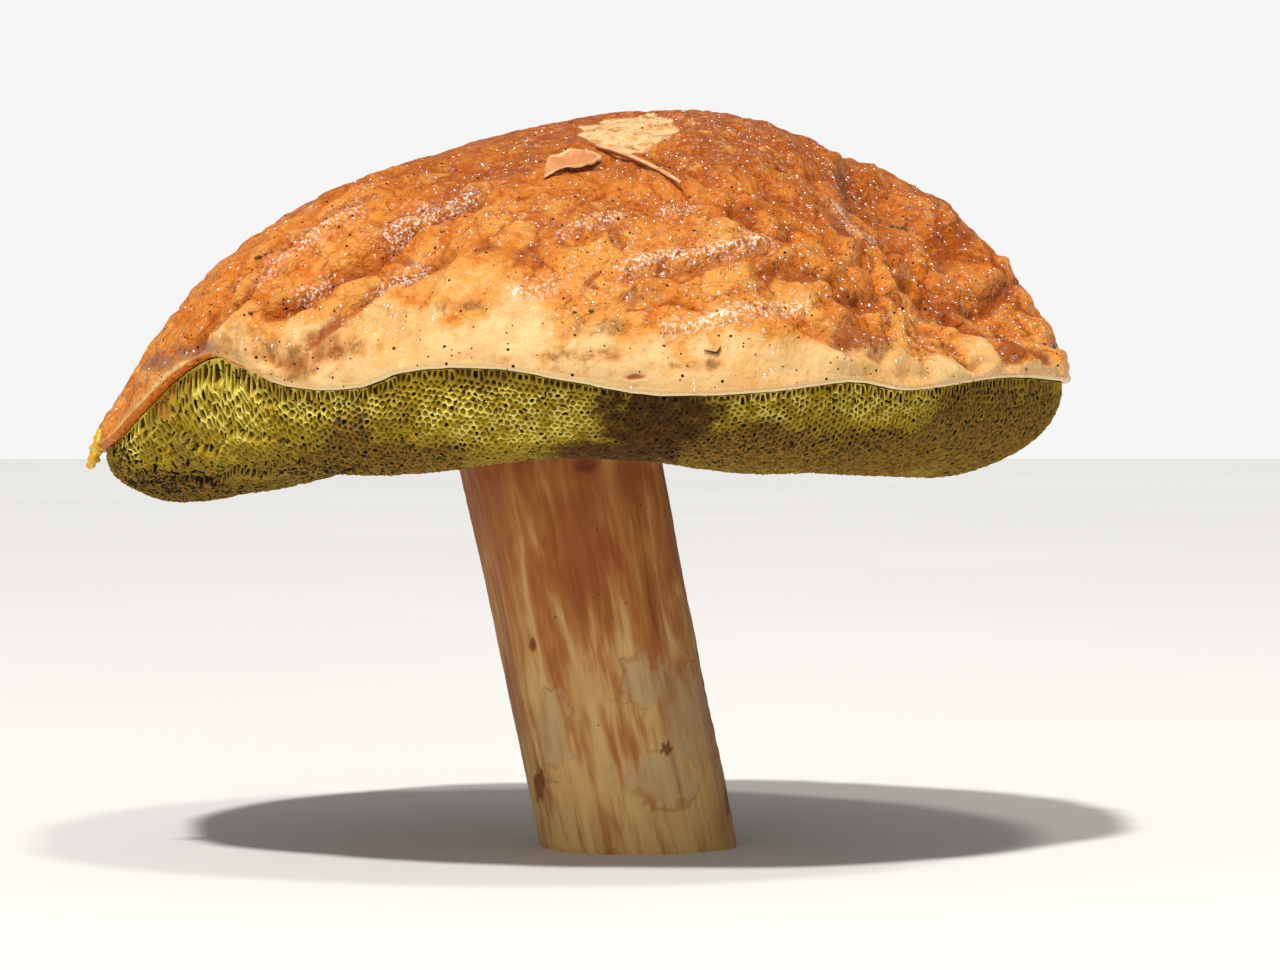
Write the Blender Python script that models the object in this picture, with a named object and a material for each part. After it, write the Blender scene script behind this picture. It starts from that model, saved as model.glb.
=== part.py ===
"""A large pored mushroom, picked and cut through its stem, standing on the cut.

Run it with: blender --background --python part.py
It leaves one named object for each piece: the cap, the tube layer under it, the leaning stem, and the bud scale and
the spruce needle that stick to the cap. Lengths are in metres. +Z is up, -Y is the front, and the origin is the
middle of the flat cut at the foot of the stem. Azimuths are in degrees round the cap's middle: 0 is right (+X), 90 is
the back and 270 is the front.
"""

import math

import bmesh
import bpy
import numpy as np

MM = 0.001
SEED = 11

# Cap: the rim's outline in plan, the apex, and the shape of the dome between them
CAP_MIDDLE = np.array([-9.6, 0.0]) * MM
CAP_HALF_WIDTH = 77.6 * MM
CAP_HALF_DEPTH = 75.0 * MM
RIM_RIPPLES = ((5, 0.9 * MM, 0.4), (8, 0.6 * MM, 2.1), (13, 0.35 * MM, 4.0))  # waves round, height, phase
APEX = np.array([8.3, 1.0, 118.0]) * MM
# Height of the rim by azimuth. It dips at the left end, climbs into a torn notch at 224 and ripples along the front.
RIM_HEIGHTS = (
    (0, 73.8), (20, 73.4), (45, 72.4), (80, 71.6), (115, 70.4), (145, 68.0), (168, 64.8), (184, 63.2), (196, 63.6),
    (206, 65.6), (213, 70.4), (219, 75.2), (225, 78.1), (230, 76.2), (236, 73.7), (245, 73.6), (251, 75.9),
    (261, 76.4), (270, 74.5), (279, 72.6), (291, 72.9), (303, 74.4), (311, 73.2), (320, 74.0), (331, 75.0),
    (345, 74.4),
)
# Exponents of the dome's profile by azimuth: a larger breadth is flatter on top, a smaller fall is steeper at the rim
DOME_BREADTH = ((0, 1.62), (60, 1.8), (120, 1.9), (180, 2.1), (240, 1.85), (300, 1.65))
DOME_FALL = ((0, 0.70), (60, 0.64), (120, 0.64), (180, 0.70), (240, 0.67), (300, 0.67))
# The right side sinks into a dell in front of a ridge, with a sharp groove behind the ridge, by azimuth
DELL_DEPTHS = (
    (0, -9.5), (4, -9.6), (9, -5.0), (14, 0.0), (22, 3.0), (32, 3.8), (45, 2.6), (70, 0.0), (180, 0.0), (290, 0.0),
    (312, -2.6), (326, -5.6), (338, -7.8), (348, -8.6), (354, -9.0),
)
DELL_TURN = 11.0  # degrees that the dell turns towards the front on its way down
# Folds that run down the cap: azimuth, depth, half width in degrees, and the share of the way down where they begin
CAP_FOLDS = (
    (192, 0.9, 4.5, 0.35), (205, 1.0, 4.0, 0.45), (222, 3.0, 4.5, 0.30), (233, 1.0, 3.0, 0.35), (241, 1.6, 3.0, 0.30),
    (251, 1.1, 3.0, 0.42), (297, 0.9, 4.0, 0.60), (315, 1.2, 4.0, 0.55), (331, 1.6, 4.0, 0.50), (343, 1.2, 3.0, 0.60),
    (28, 1.2, 4.0, 0.50), (66, 1.4, 5.0, 0.35), (104, 1.1, 4.5, 0.40), (137, 1.5, 5.0, 0.30), (163, 1.1, 4.5, 0.40),
)
FOLD_WANDER = 5.0  # degrees that a fold strays to each side on its way down
LUMP_SIZE = 13 * MM
LUMP_HEIGHT = 0.8 * MM
ROUGH_AZIMUTH = 325  # the lumps grow to their deepest round here, on the right of the front
ROUGH_HEIGHT = 1.5 * MM
BITE_PLACE = np.array([-1.5, -21.0]) * MM  # where the skin is eaten away, in front of the apex
BITE_RADII = np.array([8.4, 15.0]) * MM
BITE_DEPTH = 0.7 * MM

# Lip of the cap and its underside. Insets run inwards from the rim, rises run up from it.
LIP = ((0.7, 0.0), (1.7, 0.1), (2.1, 1.7))
CEILING_SHARES = (0.86, 0.62, 0.34)  # rings of the underside, as shares of the rim's radius
CEILING_HEIGHT = 80.0 * MM
CEILING_RISE = 3.5 * MM
GAP = 0.4 * MM

# Tube layer: a bulging outer side and an underside that rises towards the stem
BULGE_INSET = 1.4 * MM
BULGE_WIDTH = 15.5 * MM
BULGE_SPREAD = 4.5 * MM  # wider by this much on the right, narrower on the left
BOTTOM_HEIGHTS = (
    (0, 60.0), (30, 60.8), (75, 61.0), (110, 60.0), (145, 58.0), (170, 56.4), (190, 55.8), (205, 56.6), (216, 57.9),
    (226, 60.2), (240, 60.8), (253, 62.2), (264, 63.2), (275, 63.6), (284, 63.0), (292, 61.8), (302, 60.8),
    (311, 61.0), (320, 60.4), (333, 59.8), (344, 59.1),
)
COLLAR_HEIGHT = 67.0 * MM  # where the underside meets the stem
LAYER_LUMP_SIZE = 17 * MM
LAYER_LUMP_HEIGHT = 1.0 * MM
# The layer is laid out flat as a ring, from the stem to the bend and on to the top of the outer side
SHEET_RADII = np.array([17.0, 58.0, 80.0]) * MM
PORE_STEP = 2.95 * MM  # spacing of the sheet's points, every third of which is the bottom of a pore
PORE_DEPTH = 3.2 * MM
PORE_JITTER = 0.45 * MM

# Stem
STEM_RADIUS = 15.5 * MM
STEM_FLARE = 0.5 * MM
STEM_LEAN = -12.2 * MM
LEAN_HEIGHT = 61.0 * MM
STEM_RIBS = ((3, 0.45 * MM, 0.8), (7, 0.22 * MM, 2.0), (12, 0.14 * MM, 5.0))
STEM_TWIST = 14.0  # radians of rib turn for each metre of height

# What sticks to the cap, in plan
NEEDLE_ENDS = np.array([[-6.1, -34.6], [6.4, -45.3]]) * MM
NEEDLE_RADIUS = 0.42 * MM
SCALE_TIP = np.array([-14.2, -46.2]) * MM
SCALE_BASE = np.array([-6.6, -36.9]) * MM
SCALE_HALF_WIDTH = 2.5 * MM
SCALE_THICKNESS = 0.6 * MM
CLING = 0.45 * MM  # clear of the cap

# How finely each piece is cut
CAP_RINGS = 26
STEM_SIDES = 72
STEM_RINGS = 15

LOOKS = {
    "cap": ((0.47, 0.17, 0.045), 0.38),
    "tube_layer": ((0.36, 0.33, 0.06), 0.75),
    "stem": ((0.50, 0.30, 0.14), 0.65),
    "bud_scale": ((0.50, 0.24, 0.10), 0.6),
    "spruce_needle": ((0.36, 0.13, 0.05), 0.5),
}


def closed_curve(azimuth, knots):
    """Values on a smooth closed curve through (degrees, value) knots: cubic Hermite pieces, with the slope at each
    knot taken from the line through its two neighbours."""
    places = np.array([knot[0] for knot in knots], float)
    values = np.array([knot[1] for knot in knots], float)
    places = np.concatenate([places[-2:] - 360, places, places[:2] + 360])
    values = np.concatenate([values[-2:], values, values[:2]])
    slopes = np.zeros_like(values)
    slopes[1:-1] = (values[2:] - values[:-2]) / (places[2:] - places[:-2])
    azimuth = np.mod(azimuth, 360)
    index = np.clip(np.searchsorted(places, azimuth, side="right") - 1, 1, len(places) - 3)
    span = places[index + 1] - places[index]
    t = (azimuth - places[index]) / span
    return (
        values[index] * (1 + 2 * t) * (1 - t) ** 2
        + slopes[index] * span * t * (1 - t) ** 2
        + values[index + 1] * t**2 * (3 - 2 * t)
        + slopes[index + 1] * span * t**2 * (t - 1)
    )


def ease(low, high, value):
    """0 below low, 1 above high, and a smooth step between them."""
    t = np.clip((value - low) / (high - low), 0, 1)
    return t * t * (3 - 2 * t)


def degrees_apart(azimuth, other):
    """How far azimuth is past other, from -180 to 180."""
    return np.mod(azimuth - other + 180, 360) - 180


def cloud(points, size, seed):
    """Smooth noise from about -1 to 1, with blobs of that size: on a grid of cubes, each corner has a seeded slope,
    and the slopes of the eight corners round a point are mixed by how near they are."""
    random = np.random.default_rng(seed)
    shuffled = random.permutation(256)
    slopes = random.normal(size=(256, 3))
    slopes /= np.linalg.norm(slopes, axis=1, keepdims=True)
    scaled = points / size
    cell = np.floor(scaled).astype(int)
    part = scaled - cell
    mix = part**3 * (part * (part * 6 - 15) + 10)
    total = np.zeros(len(points))
    for corner in np.ndindex(2, 2, 2):
        x, y, z = ((cell + corner) & 255).T
        slope = slopes[shuffled[(shuffled[(shuffled[x] + y) & 255] + z) & 255]]
        weight = np.prod(np.where(corner, mix, 1 - mix), axis=1)
        total += weight * np.sum(slope * (part - corner), axis=1)
    return total * 1.6


def rim_radius(azimuth):
    """Radius of the rim round the cap's middle: an ellipse with a few ripples."""
    turn = np.radians(azimuth)
    radius = 1 / np.hypot(np.cos(turn) / CAP_HALF_WIDTH, np.sin(turn) / CAP_HALF_DEPTH)
    for waves, height, phase in RIM_RIPPLES:
        radius = radius + height * np.cos(waves * turn + phase)
    return radius


def rim_height(azimuth):
    return closed_curve(azimuth, RIM_HEIGHTS) * MM


def bearing(azimuth):
    """Unit vectors in plan, pointing along each azimuth."""
    turn = np.radians(azimuth)
    return np.stack([np.cos(turn), np.sin(turn)], axis=-1)


def from_rim(azimuth, inset, rise):
    """Points inset towards the cap's middle from the rim, and raised by rise."""
    plan = CAP_MIDDLE + bearing(azimuth) * (rim_radius(azimuth) - inset)[:, None]
    return np.column_stack([plan, rim_height(azimuth) + rise])


def dome(azimuth, way):
    """Points on the cap's smooth top. way runs from 0 at the apex to 1 at the rim. In plan they lie on straight lines
    from the apex to the rim, and their height falls along a superellipse."""
    swing = way * math.pi / 2
    out = np.sin(swing) ** (2 / closed_curve(azimuth, DOME_BREADTH))
    left = np.cos(swing) ** (2 * closed_curve(azimuth, DOME_FALL))
    rim = from_rim(azimuth, 0 * azimuth, LIP[2][1] * MM / 2)
    plan = APEX[:2] + (rim[:, :2] - APEX[:2]) * out[:, None]
    height = rim[:, 2] + (APEX[2] - rim[:, 2]) * left
    return np.column_stack([plan, height]), out


def folds(points, azimuth, way):
    """How deep the folds cut in: each is a V with rounded sides, and wanders to and fro on its way down."""
    stray = FOLD_WANDER * cloud(points, 24 * MM, SEED + 1)
    depth = np.zeros(len(points))
    for place, deep, half_width, begin in CAP_FOLDS:
        across = np.abs(degrees_apart(azimuth + stray * ease(1.0, 0.6, way), place)) / half_width
        depth = np.maximum(depth, deep * MM * (1 - ease(0, 1, across) ** 0.6) * ease(begin, begin + 0.2, way))
    return depth


def cap_relief(points, azimuth, way, out):
    """How far the real surface stands out from the smooth dome."""
    turned = azimuth + DELL_TURN * ease(0.55, 0.95, out)
    dell = closed_curve(turned, DELL_DEPTHS) * MM * ease(0.34, 0.58, out) * (1 - 0.85 * ease(0.90, 1.0, out))
    warp = points + 3 * MM * cloud(points, 21 * MM, SEED + 2)[:, None]
    lumps = 1 - 2 * np.abs(cloud(warp, LUMP_SIZE, SEED + 3))
    near_rough = np.exp(-((degrees_apart(azimuth, ROUGH_AZIMUTH) / 38) ** 2))
    height = LUMP_HEIGHT + (ROUGH_HEIGHT - LUMP_HEIGHT) * near_rough
    quiet = 1 - 0.8 * ease(0.80, 0.97, way) * (1 - ease(0.5, 0.9, near_rough))
    swell = 1.1 * MM * cloud(points, 38 * MM, SEED + 4)
    bite = np.linalg.norm((points[:, :2] - BITE_PLACE) / BITE_RADII, axis=1)
    return (
        dell
        + swell
        + lumps * height * quiet * ease(0.1, 0.3, way)
        - folds(points, azimuth, way)
        - BITE_DEPTH * (1 - ease(0.85, 1.1, bite))
    )


def outwards(points):
    """Unit vectors away from a point low in the cap, along which the relief is raised."""
    away = points - np.array([CAP_MIDDLE[0], CAP_MIDDLE[1], 35 * MM])
    return away / np.linalg.norm(away, axis=1, keepdims=True)


def cap_top(azimuth, way):
    """Points on the cap's wrinkled top. The relief dies away at the rim, where the lip begins."""
    points, out = dome(azimuth, way)
    relief = cap_relief(points, azimuth, way, out) * (1 - 0.9 * ease(0.93, 1.0, way))
    return points + outwards(points) * relief[:, None]


def height_on_cap(plan):
    """Height of the cap's top over each point in plan, found by walking the surface's own azimuth and way."""
    spread = np.linspace(0, 359, 240)
    ways = np.linspace(0.01, 0.95, 120)
    azimuth, way = (grid.ravel() for grid in np.meshgrid(spread, ways))
    surface = cap_top(azimuth, way)
    heights = []
    for point in plan:
        distance = np.linalg.norm(surface[:, :2] - point, axis=1)
        nearest = np.argsort(distance)[:4]
        weight = 1 / (distance[nearest] + 0.05 * MM)
        heights.append(np.sum(surface[nearest, 2] * weight) / np.sum(weight))
    return np.array(heights)


def ceiling(azimuth, share):
    """Points on the cap's underside, at a share of the rim's radius: it climbs from the lip to a flat middle."""
    plan = CAP_MIDDLE + bearing(azimuth) * (rim_radius(azimuth) * share)[:, None]
    edge = rim_height(azimuth) + LIP[2][1] * MM + CEILING_RISE * (1 - share)
    inwards = ease(1.0, CEILING_SHARES[-1], share)
    return np.column_stack([plan, edge + (CEILING_HEIGHT - edge) * inwards])


def stem_middle(height):
    """Middle of the stem at each height: it leans to the left as far as the tubes, then goes straight up."""
    lean = np.minimum(height / LEAN_HEIGHT, 1)
    return np.column_stack([STEM_LEAN * lean, 0 * height])


def stem_skin(azimuth, height, clear=0.0):
    """Points on the stem's side, ribbed along its length and flared a little where it meets the tubes."""
    turn = np.radians(azimuth)
    radius = STEM_RADIUS + STEM_FLARE * ease(0.6, 1.0, height / LEAN_HEIGHT) + clear
    for ribs, depth, phase in STEM_RIBS:
        radius = radius + depth * np.cos(ribs * (turn + STEM_TWIST * height / ribs) + phase)
    plan = stem_middle(height) + bearing(azimuth) * np.asarray(radius)[:, None]
    return np.column_stack([plan, height])


def layer_surface(azimuth, flat):
    """Points on the tube layer, from its flat layout: flat is the distance from the middle of the laid-out ring.
    Up to the bend they lie on the underside, from the stem's collar outwards. Past it they climb a quarter ellipse."""
    collar, bend, top = SHEET_RADII
    low = closed_curve(azimuth, BOTTOM_HEIGHTS) * MM
    width = BULGE_WIDTH + BULGE_SPREAD * np.cos(np.radians(azimuth))
    climb = np.clip((flat - bend) / (top - bend), 0, 1) * math.pi / 2
    inset = BULGE_INSET + width * (1 - np.sin(climb))
    side = from_rim(azimuth, inset, -GAP * np.ones_like(inset))
    side[:, 2] = side[:, 2] - (side[:, 2] - low) * np.cos(climb)
    share = np.clip((flat - collar) / (bend - collar), 0, 1)
    inner = stem_skin(azimuth, np.full(len(azimuth), COLLAR_HEIGHT), GAP)
    floor = inner + (side - inner) * share[:, None]
    floor[:, 2] = COLLAR_HEIGHT + (low - COLLAR_HEIGHT) * ease(0.0, 1.0, share) ** 0.7
    under = (flat < bend)[:, None]
    points = np.where(under, floor, side)
    swell = LAYER_LUMP_HEIGHT * cloud(points, LAYER_LUMP_SIZE, SEED + 5) * ease(0, 0.15, share)
    fade = 1 - ease(top - 7 * MM, top - 2 * MM, flat)
    return points + layer_outwards(azimuth, climb) * (swell * fade)[:, None]


def layer_outwards(azimuth, climb):
    """Unit vectors out of the tube layer: straight down under it, turning outwards up the bulging side."""
    plan = bearing(azimuth) * np.sin(climb)[:, None]
    return np.column_stack([plan, -np.cos(climb)])


def finish(name, mesh_data):
    """Turns a bmesh into a smooth-shaded object of that name, with its own material."""
    bmesh.ops.recalc_face_normals(mesh_data, faces=mesh_data.faces)
    mesh = bpy.data.meshes.new(name)
    mesh_data.to_mesh(mesh)
    mesh_data.free()
    mesh.shade_smooth()
    mesh.set_sharp_from_angle(angle=math.radians(50))
    mesh.materials.append(material(name))
    thing = bpy.data.objects.new(name, mesh)
    bpy.context.scene.collection.objects.link(thing)
    return thing


def material(name):
    colour, roughness = LOOKS[name]
    made = bpy.data.materials.new(name)
    made.use_nodes = True
    shader = made.node_tree.nodes["Principled BSDF"]
    shader.inputs["Base Color"].default_value = (*colour, 1)
    shader.inputs["Roughness"].default_value = roughness
    return made


def add_ring(mesh_data, points):
    """Adds a closed ring of edges through the points."""
    verts = [mesh_data.verts.new(point) for point in points]
    edges = [mesh_data.edges.new((verts[i - 1], verts[i])) for i in range(len(verts))]
    return verts, edges


def join_rings(mesh_data, lower, upper):
    """Faces between two rings that have as many points as each other."""
    for i in range(len(lower)):
        mesh_data.faces.new((lower[i - 1], lower[i], upper[i], upper[i - 1]))


def web(rings):
    """A disc of nearly even triangles: ring k has 6k points. Gives each point's azimuth and way from the middle to the
    edge, and the triangles as point numbers. The last 6 * rings points are the edge."""
    azimuth, way, triangles = [0.0], [0.0], []
    for k in range(1, rings + 1):
        start = len(azimuth)
        azimuth += [60 * j / k for j in range(6 * k)]
        way += [k / rings] * (6 * k)
        inner_start = start - 6 * (k - 1) if k > 1 else 0
        for side in range(6):
            for j in range(k):
                here = start + side * k + j
                after = start + (side * k + j + 1) % (6 * k)
                inner = inner_start + (side * (k - 1) + j) % max(6 * (k - 1), 1)
                triangles.append((here, after, inner))
                if j < k - 1:
                    inner_after = inner_start + (side * (k - 1) + j + 1) % (6 * (k - 1))
                    triangles.append((after, inner_after, inner))
    return np.array(azimuth), np.array(way), triangles


def make_cap():
    """The wrinkled top as a web of triangles, then the lip and the underside as rings, and a flat middle."""
    shape = bmesh.new()
    azimuth, way, triangles = web(CAP_RINGS)
    verts = [shape.verts.new(point) for point in cap_top(azimuth, way)]
    for triangle in triangles:
        shape.faces.new([verts[i] for i in triangle])
    last = verts[-6 * CAP_RINGS :]
    turn = azimuth[-6 * CAP_RINGS :]
    rings = [from_rim(turn, np.full(len(turn), inset * MM), rise * MM) for inset, rise in LIP]
    rings += [ceiling(turn, np.full(len(turn), share)) for share in CEILING_SHARES]
    for points in rings:
        ring = [shape.verts.new(point) for point in points]
        join_rings(shape, last, ring)
        last = ring
    shape.faces.new(last)
    return finish("cap", shape)


def layer_sheet():
    """The pored skin of the tube layer as a triangle lattice laid out flat: points and triangles inside the ring.
    Every third point is the bottom of a pore, with six points of its mouth round it."""
    collar, _, top = SHEET_RADII
    reach = int(top / PORE_STEP) + 2
    lattice = {}
    for i in range(-2 * reach, 2 * reach):
        for j in range(-2 * reach, 2 * reach):
            x = (i + j / 2) * PORE_STEP
            y = j * math.sqrt(3) / 2 * PORE_STEP
            if collar + 0.3 * PORE_STEP < math.hypot(x, y) < top - 0.3 * PORE_STEP:
                lattice[i, j] = (x, y, (i - j) % 3 == 0)
    triangles = []
    for i, j in lattice:
        for corner in (((i, j), (i + 1, j), (i, j + 1)), ((i + 1, j), (i + 1, j + 1), (i, j + 1))):
            if all(key in lattice for key in corner):
                triangles.append(corner)
    used = {key for triangle in triangles for key in triangle}
    return {key: lattice[key] for key in lattice if key in used}, triangles


def make_tube_layer():
    """The pored skin bent round under the cap, then closed over the top, following the cap's underside, and down the
    hole that the stem fills."""
    collar, bend, top = SHEET_RADII
    lattice, triangles = layer_sheet()
    shape = bmesh.new()
    verts = {key: shape.verts.new((x, y, 0)) for key, (x, y, _) in lattice.items()}
    for triangle in triangles:
        shape.faces.new([verts[key] for key in triangle])
    keys = list(lattice)
    flat_points = np.array([lattice[key][:2] for key in keys])
    is_pit = np.array([lattice[key][2] for key in keys])
    at_edge = np.array([verts[key].is_boundary for key in keys])
    random = np.random.default_rng(SEED + 6)
    flat_points = flat_points + random.uniform(-1, 1, flat_points.shape) * PORE_JITTER * ~at_edge[:, None]
    flat = np.linalg.norm(flat_points, axis=1)
    azimuth = np.degrees(np.arctan2(flat_points[:, 1], flat_points[:, 0]))
    inner_edge = at_edge & (flat < bend)
    outer_edge = at_edge & (flat > bend)
    flat = np.where(inner_edge, collar, np.where(outer_edge, top, flat))
    points = layer_surface(azimuth, flat)
    climb = np.clip((flat - bend) / (top - bend), 0, 1) * math.pi / 2
    inwards = -layer_outwards(azimuth, climb) * 0.75 + np.array([0, 0, 0.6])
    inwards /= np.linalg.norm(inwards, axis=1, keepdims=True)
    uneven = 0.8 + 0.2 * random.random(len(points))
    points += inwards * (PORE_DEPTH * uneven * (is_pit & ~at_edge))[:, None]
    for key, point in zip(keys, points):
        verts[key].co = point

    outer = [verts[key] for key, edge in zip(keys, outer_edge) if edge]
    inner = [verts[key] for key, edge in zip(keys, inner_edge) if edge]
    sides = 6 * CAP_RINGS
    turn = np.arange(sides) * 360 / sides
    tucked = from_rim(turn, np.full(sides, LIP[2][0] * MM + 2 * GAP), LIP[2][1] * MM - 3 * GAP)
    _, first_edges = add_ring(shape, tucked)
    last = [vert for edge in first_edges for vert in edge.verts][1::2]
    for share in CEILING_SHARES:
        points = ceiling(turn, np.full(sides, share)) - np.array([0, 0, GAP])
        ring = [shape.verts.new(point) for point in points]
        join_rings(shape, last, ring)
        last = ring
    crown = stem_skin(turn, np.full(sides, CEILING_HEIGHT - GAP), GAP)
    ring, last_edges = add_ring(shape, crown)
    join_rings(shape, last, ring)
    bridge(shape, outer, first_edges)
    bridge(shape, inner, last_edges)
    return finish("tube_layer", shape)


def bridge(shape, loop, ring_edges):
    """Faces from the sheet's edge, whose points are unevenly spaced, to an even ring."""
    members = set(loop)
    edges = [edge for edge in shape.edges if edge.is_boundary and set(edge.verts) <= members]
    bmesh.ops.bridge_loops(shape, edges=edges + list(ring_edges))


def make_stem():
    """Rings from the flat cut up to the cap's underside, closed by a flat face at each end."""
    shape = bmesh.new()
    turn = np.arange(STEM_SIDES) * 360 / STEM_SIDES
    last = None
    for height in np.linspace(0, CEILING_HEIGHT - GAP, STEM_RINGS):
        ring = [shape.verts.new(point) for point in stem_skin(turn, np.full(STEM_SIDES, height))]
        if last is None:
            shape.faces.new(ring)
        else:
            join_rings(shape, last, ring)
        last = ring
    shape.faces.new(last)
    return finish("stem", shape)


def make_spruce_needle():
    """A six-sided tapered rod that lies along the cap, a little clear of it."""
    steps = 9
    sides = 6
    along = np.linspace(0, 1, steps)
    plan = NEEDLE_ENDS[0] + (NEEDLE_ENDS[1] - NEEDLE_ENDS[0]) * along[:, None]
    height = height_on_cap(plan)
    height = np.polyval(np.polyfit(along, height, 2), along) + CLING + NEEDLE_RADIUS * 1.5
    across = np.array([NEEDLE_ENDS[0][1] - NEEDLE_ENDS[1][1], NEEDLE_ENDS[1][0] - NEEDLE_ENDS[0][0], 0])
    across /= np.linalg.norm(across)
    shape = bmesh.new()
    last = None
    for t, middle, top in zip(along, plan, height):
        radius = NEEDLE_RADIUS * (1 - 0.55 * t**3)
        ring = []
        for side in range(sides):
            turn = 2 * math.pi * side / sides
            point = np.array([*middle, top]) + across * math.cos(turn) * radius
            ring.append(shape.verts.new(point + np.array([0, 0, math.sin(turn) * radius])))
        if last is None:
            shape.faces.new(ring)
        else:
            join_rings(shape, last, ring)
        last = ring
    shape.faces.new(last)
    return finish("spruce_needle", shape)


def make_bud_scale():
    """A pointed oval blade, cupped across, that lies on the cap a little clear of it."""
    steps = 12
    lanes = 4
    length = SCALE_BASE - SCALE_TIP
    across = np.array([-length[1], length[0]]) / np.linalg.norm(length)
    along = np.linspace(0.03, 0.97, steps)
    half = SCALE_HALF_WIDTH * np.sin(math.pi * along) ** 0.8 * (1 + 0.25 * np.sin(9 * along))
    shape = bmesh.new()
    grid = []
    for t, wide in zip(along, half):
        offsets = np.linspace(-wide, wide, lanes + 1)
        plan = SCALE_TIP + length * t + across * offsets[:, None]
        cup = 0.5 * MM * (offsets / SCALE_HALF_WIDTH) ** 2
        height = height_on_cap(plan) + CLING + cup
        low = [shape.verts.new((*point, top)) for point, top in zip(plan, height)]
        high = [shape.verts.new((*point, top + SCALE_THICKNESS)) for point, top in zip(plan, height)]
        grid.append(low + high[::-1])
    for last, ring in zip(grid, grid[1:]):
        join_rings(shape, last, ring)
    shape.faces.new(grid[0])
    shape.faces.new(grid[-1])
    return finish("bud_scale", shape)


def main():
    for thing in list(bpy.data.objects):
        bpy.data.objects.remove(thing)
    make_cap()
    make_tube_layer()
    make_stem()
    make_spruce_needle()
    make_bud_scale()


main()
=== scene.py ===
"""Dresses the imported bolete.

It has a tacky wrinkled cap, spongy pores under it, and a streaked stem that stands on its flat cut.

Lengths are in metres in the part's own frame: +Z up, -Y to the front, the origin in the middle of the cut. The
sizes in the fields of the pieces' classes are in millimetres. Azimuths are in degrees round the cap's middle, 0 to
the right (+X) and 270 to the front. The forms of the cap, the tube layer and the stem follow the same formulas as
the part's source, worked out on finer grids with finer relief on top.
"""

from __future__ import annotations

import logging
import math
from dataclasses import dataclass, field
from enum import Enum, IntEnum
from typing import NamedTuple

import bpy
import numpy as np
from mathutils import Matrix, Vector


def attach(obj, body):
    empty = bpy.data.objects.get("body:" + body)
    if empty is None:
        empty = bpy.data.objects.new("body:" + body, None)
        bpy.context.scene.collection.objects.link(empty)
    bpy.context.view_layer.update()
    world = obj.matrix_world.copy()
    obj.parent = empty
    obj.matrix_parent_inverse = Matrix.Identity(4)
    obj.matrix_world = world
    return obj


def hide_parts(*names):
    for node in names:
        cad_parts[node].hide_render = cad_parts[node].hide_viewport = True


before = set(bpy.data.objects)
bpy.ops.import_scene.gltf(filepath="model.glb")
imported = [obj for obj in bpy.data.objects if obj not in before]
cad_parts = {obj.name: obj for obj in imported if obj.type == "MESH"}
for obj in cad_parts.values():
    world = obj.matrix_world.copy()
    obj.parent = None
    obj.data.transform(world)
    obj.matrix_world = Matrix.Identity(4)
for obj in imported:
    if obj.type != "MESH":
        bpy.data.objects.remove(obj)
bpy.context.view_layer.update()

LOG = logging.getLogger("bolete")
MM = 0.001
SEED = 11
Array = np.ndarray
Knots = tuple[tuple[float, float], ...]
Colour = tuple[float, float, float]
Socket = bpy.types.NodeSocket


class Draw(IntEnum):
    """Seeds of the noises and random draws. A drift takes the one that it is given and the next two."""

    FOLD_WANDER = SEED + 1
    LUMP_WARP = SEED + 2
    LUMPS = SEED + 3
    SWELL = SEED + 4
    TUBE_LUMPS = SEED + 5
    CAP_BEND = SEED + 10
    CAP_LUMPS = SEED + 13
    SMALL_LUMPS = SEED + 14
    PLEAT_BEND = SEED + 15
    PLEATS = SEED + 18
    BITE_EDGE = SEED + 19
    GRIT = SEED + 20
    LIP_RUFFLE = SEED + 21
    FINE_PLEATS = SEED + 22
    MARGIN_SWELL = SEED + 23
    MARGIN_EDGE = SEED + 24
    PORE_JITTER = SEED + 30
    PORE_TONES = SEED + 31
    TIERS = SEED + 32
    SCRAP_LUMPS = SEED + 33
    SCRAP_GRIT = SEED + 34
    SCRAP_EDGE = SEED + 35
    SPOT_EDGE = SEED + 40
    SPOT_FRAY = SEED + 41
    STRAY_ACROSS = SEED + 50
    STRAY_UP = SEED + 51
    STRAY_SHAKE = SEED + 52
    STAR_EDGE = SEED + 60
    FIBRE_BEND = SEED + 61
    FIBRES = SEED + 64
    STRANDS = SEED + 65
    CUT_NICKS = SEED + 66
    CRUMBS = SEED + 70
    CRUMB_EDGE = SEED + 71


# Curves and noise


def closed_curve(azimuth: Array, knots: Knots) -> Array:
    """Values on a smooth closed curve: cubic Hermite pieces, each knot's slope taken from its two neighbours.

    Args:
        azimuth: Degrees, any shape.
        knots: (degrees, value) pairs in rising order.

    Returns:
        The curve's value at each azimuth.
    """
    places = np.array([knot[0] for knot in knots], float)
    values = np.array([knot[1] for knot in knots], float)
    places = np.concatenate([places[-2:] - 360, places, places[:2] + 360])
    values = np.concatenate([values[-2:], values, values[:2]])
    slopes = np.zeros_like(values)
    slopes[1:-1] = (values[2:] - values[:-2]) / (places[2:] - places[:-2])
    azimuth = np.mod(azimuth, 360)
    index = np.clip(np.searchsorted(places, azimuth, side="right") - 1, 1, len(places) - 3)
    span = places[index + 1] - places[index]
    t = (azimuth - places[index]) / span
    return (
        values[index] * (1 + 2 * t) * (1 - t) ** 2
        + slopes[index] * span * t * (1 - t) ** 2
        + values[index + 1] * t**2 * (3 - 2 * t)
        + slopes[index + 1] * span * t**2 * (t - 1)
    )


def ease(low: float, high: float, value: Array) -> Array:
    """0 below low, 1 above high, and a smooth step between them."""
    t = np.clip((value - low) / (high - low), 0, 1)
    return t * t * (3 - 2 * t)


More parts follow.
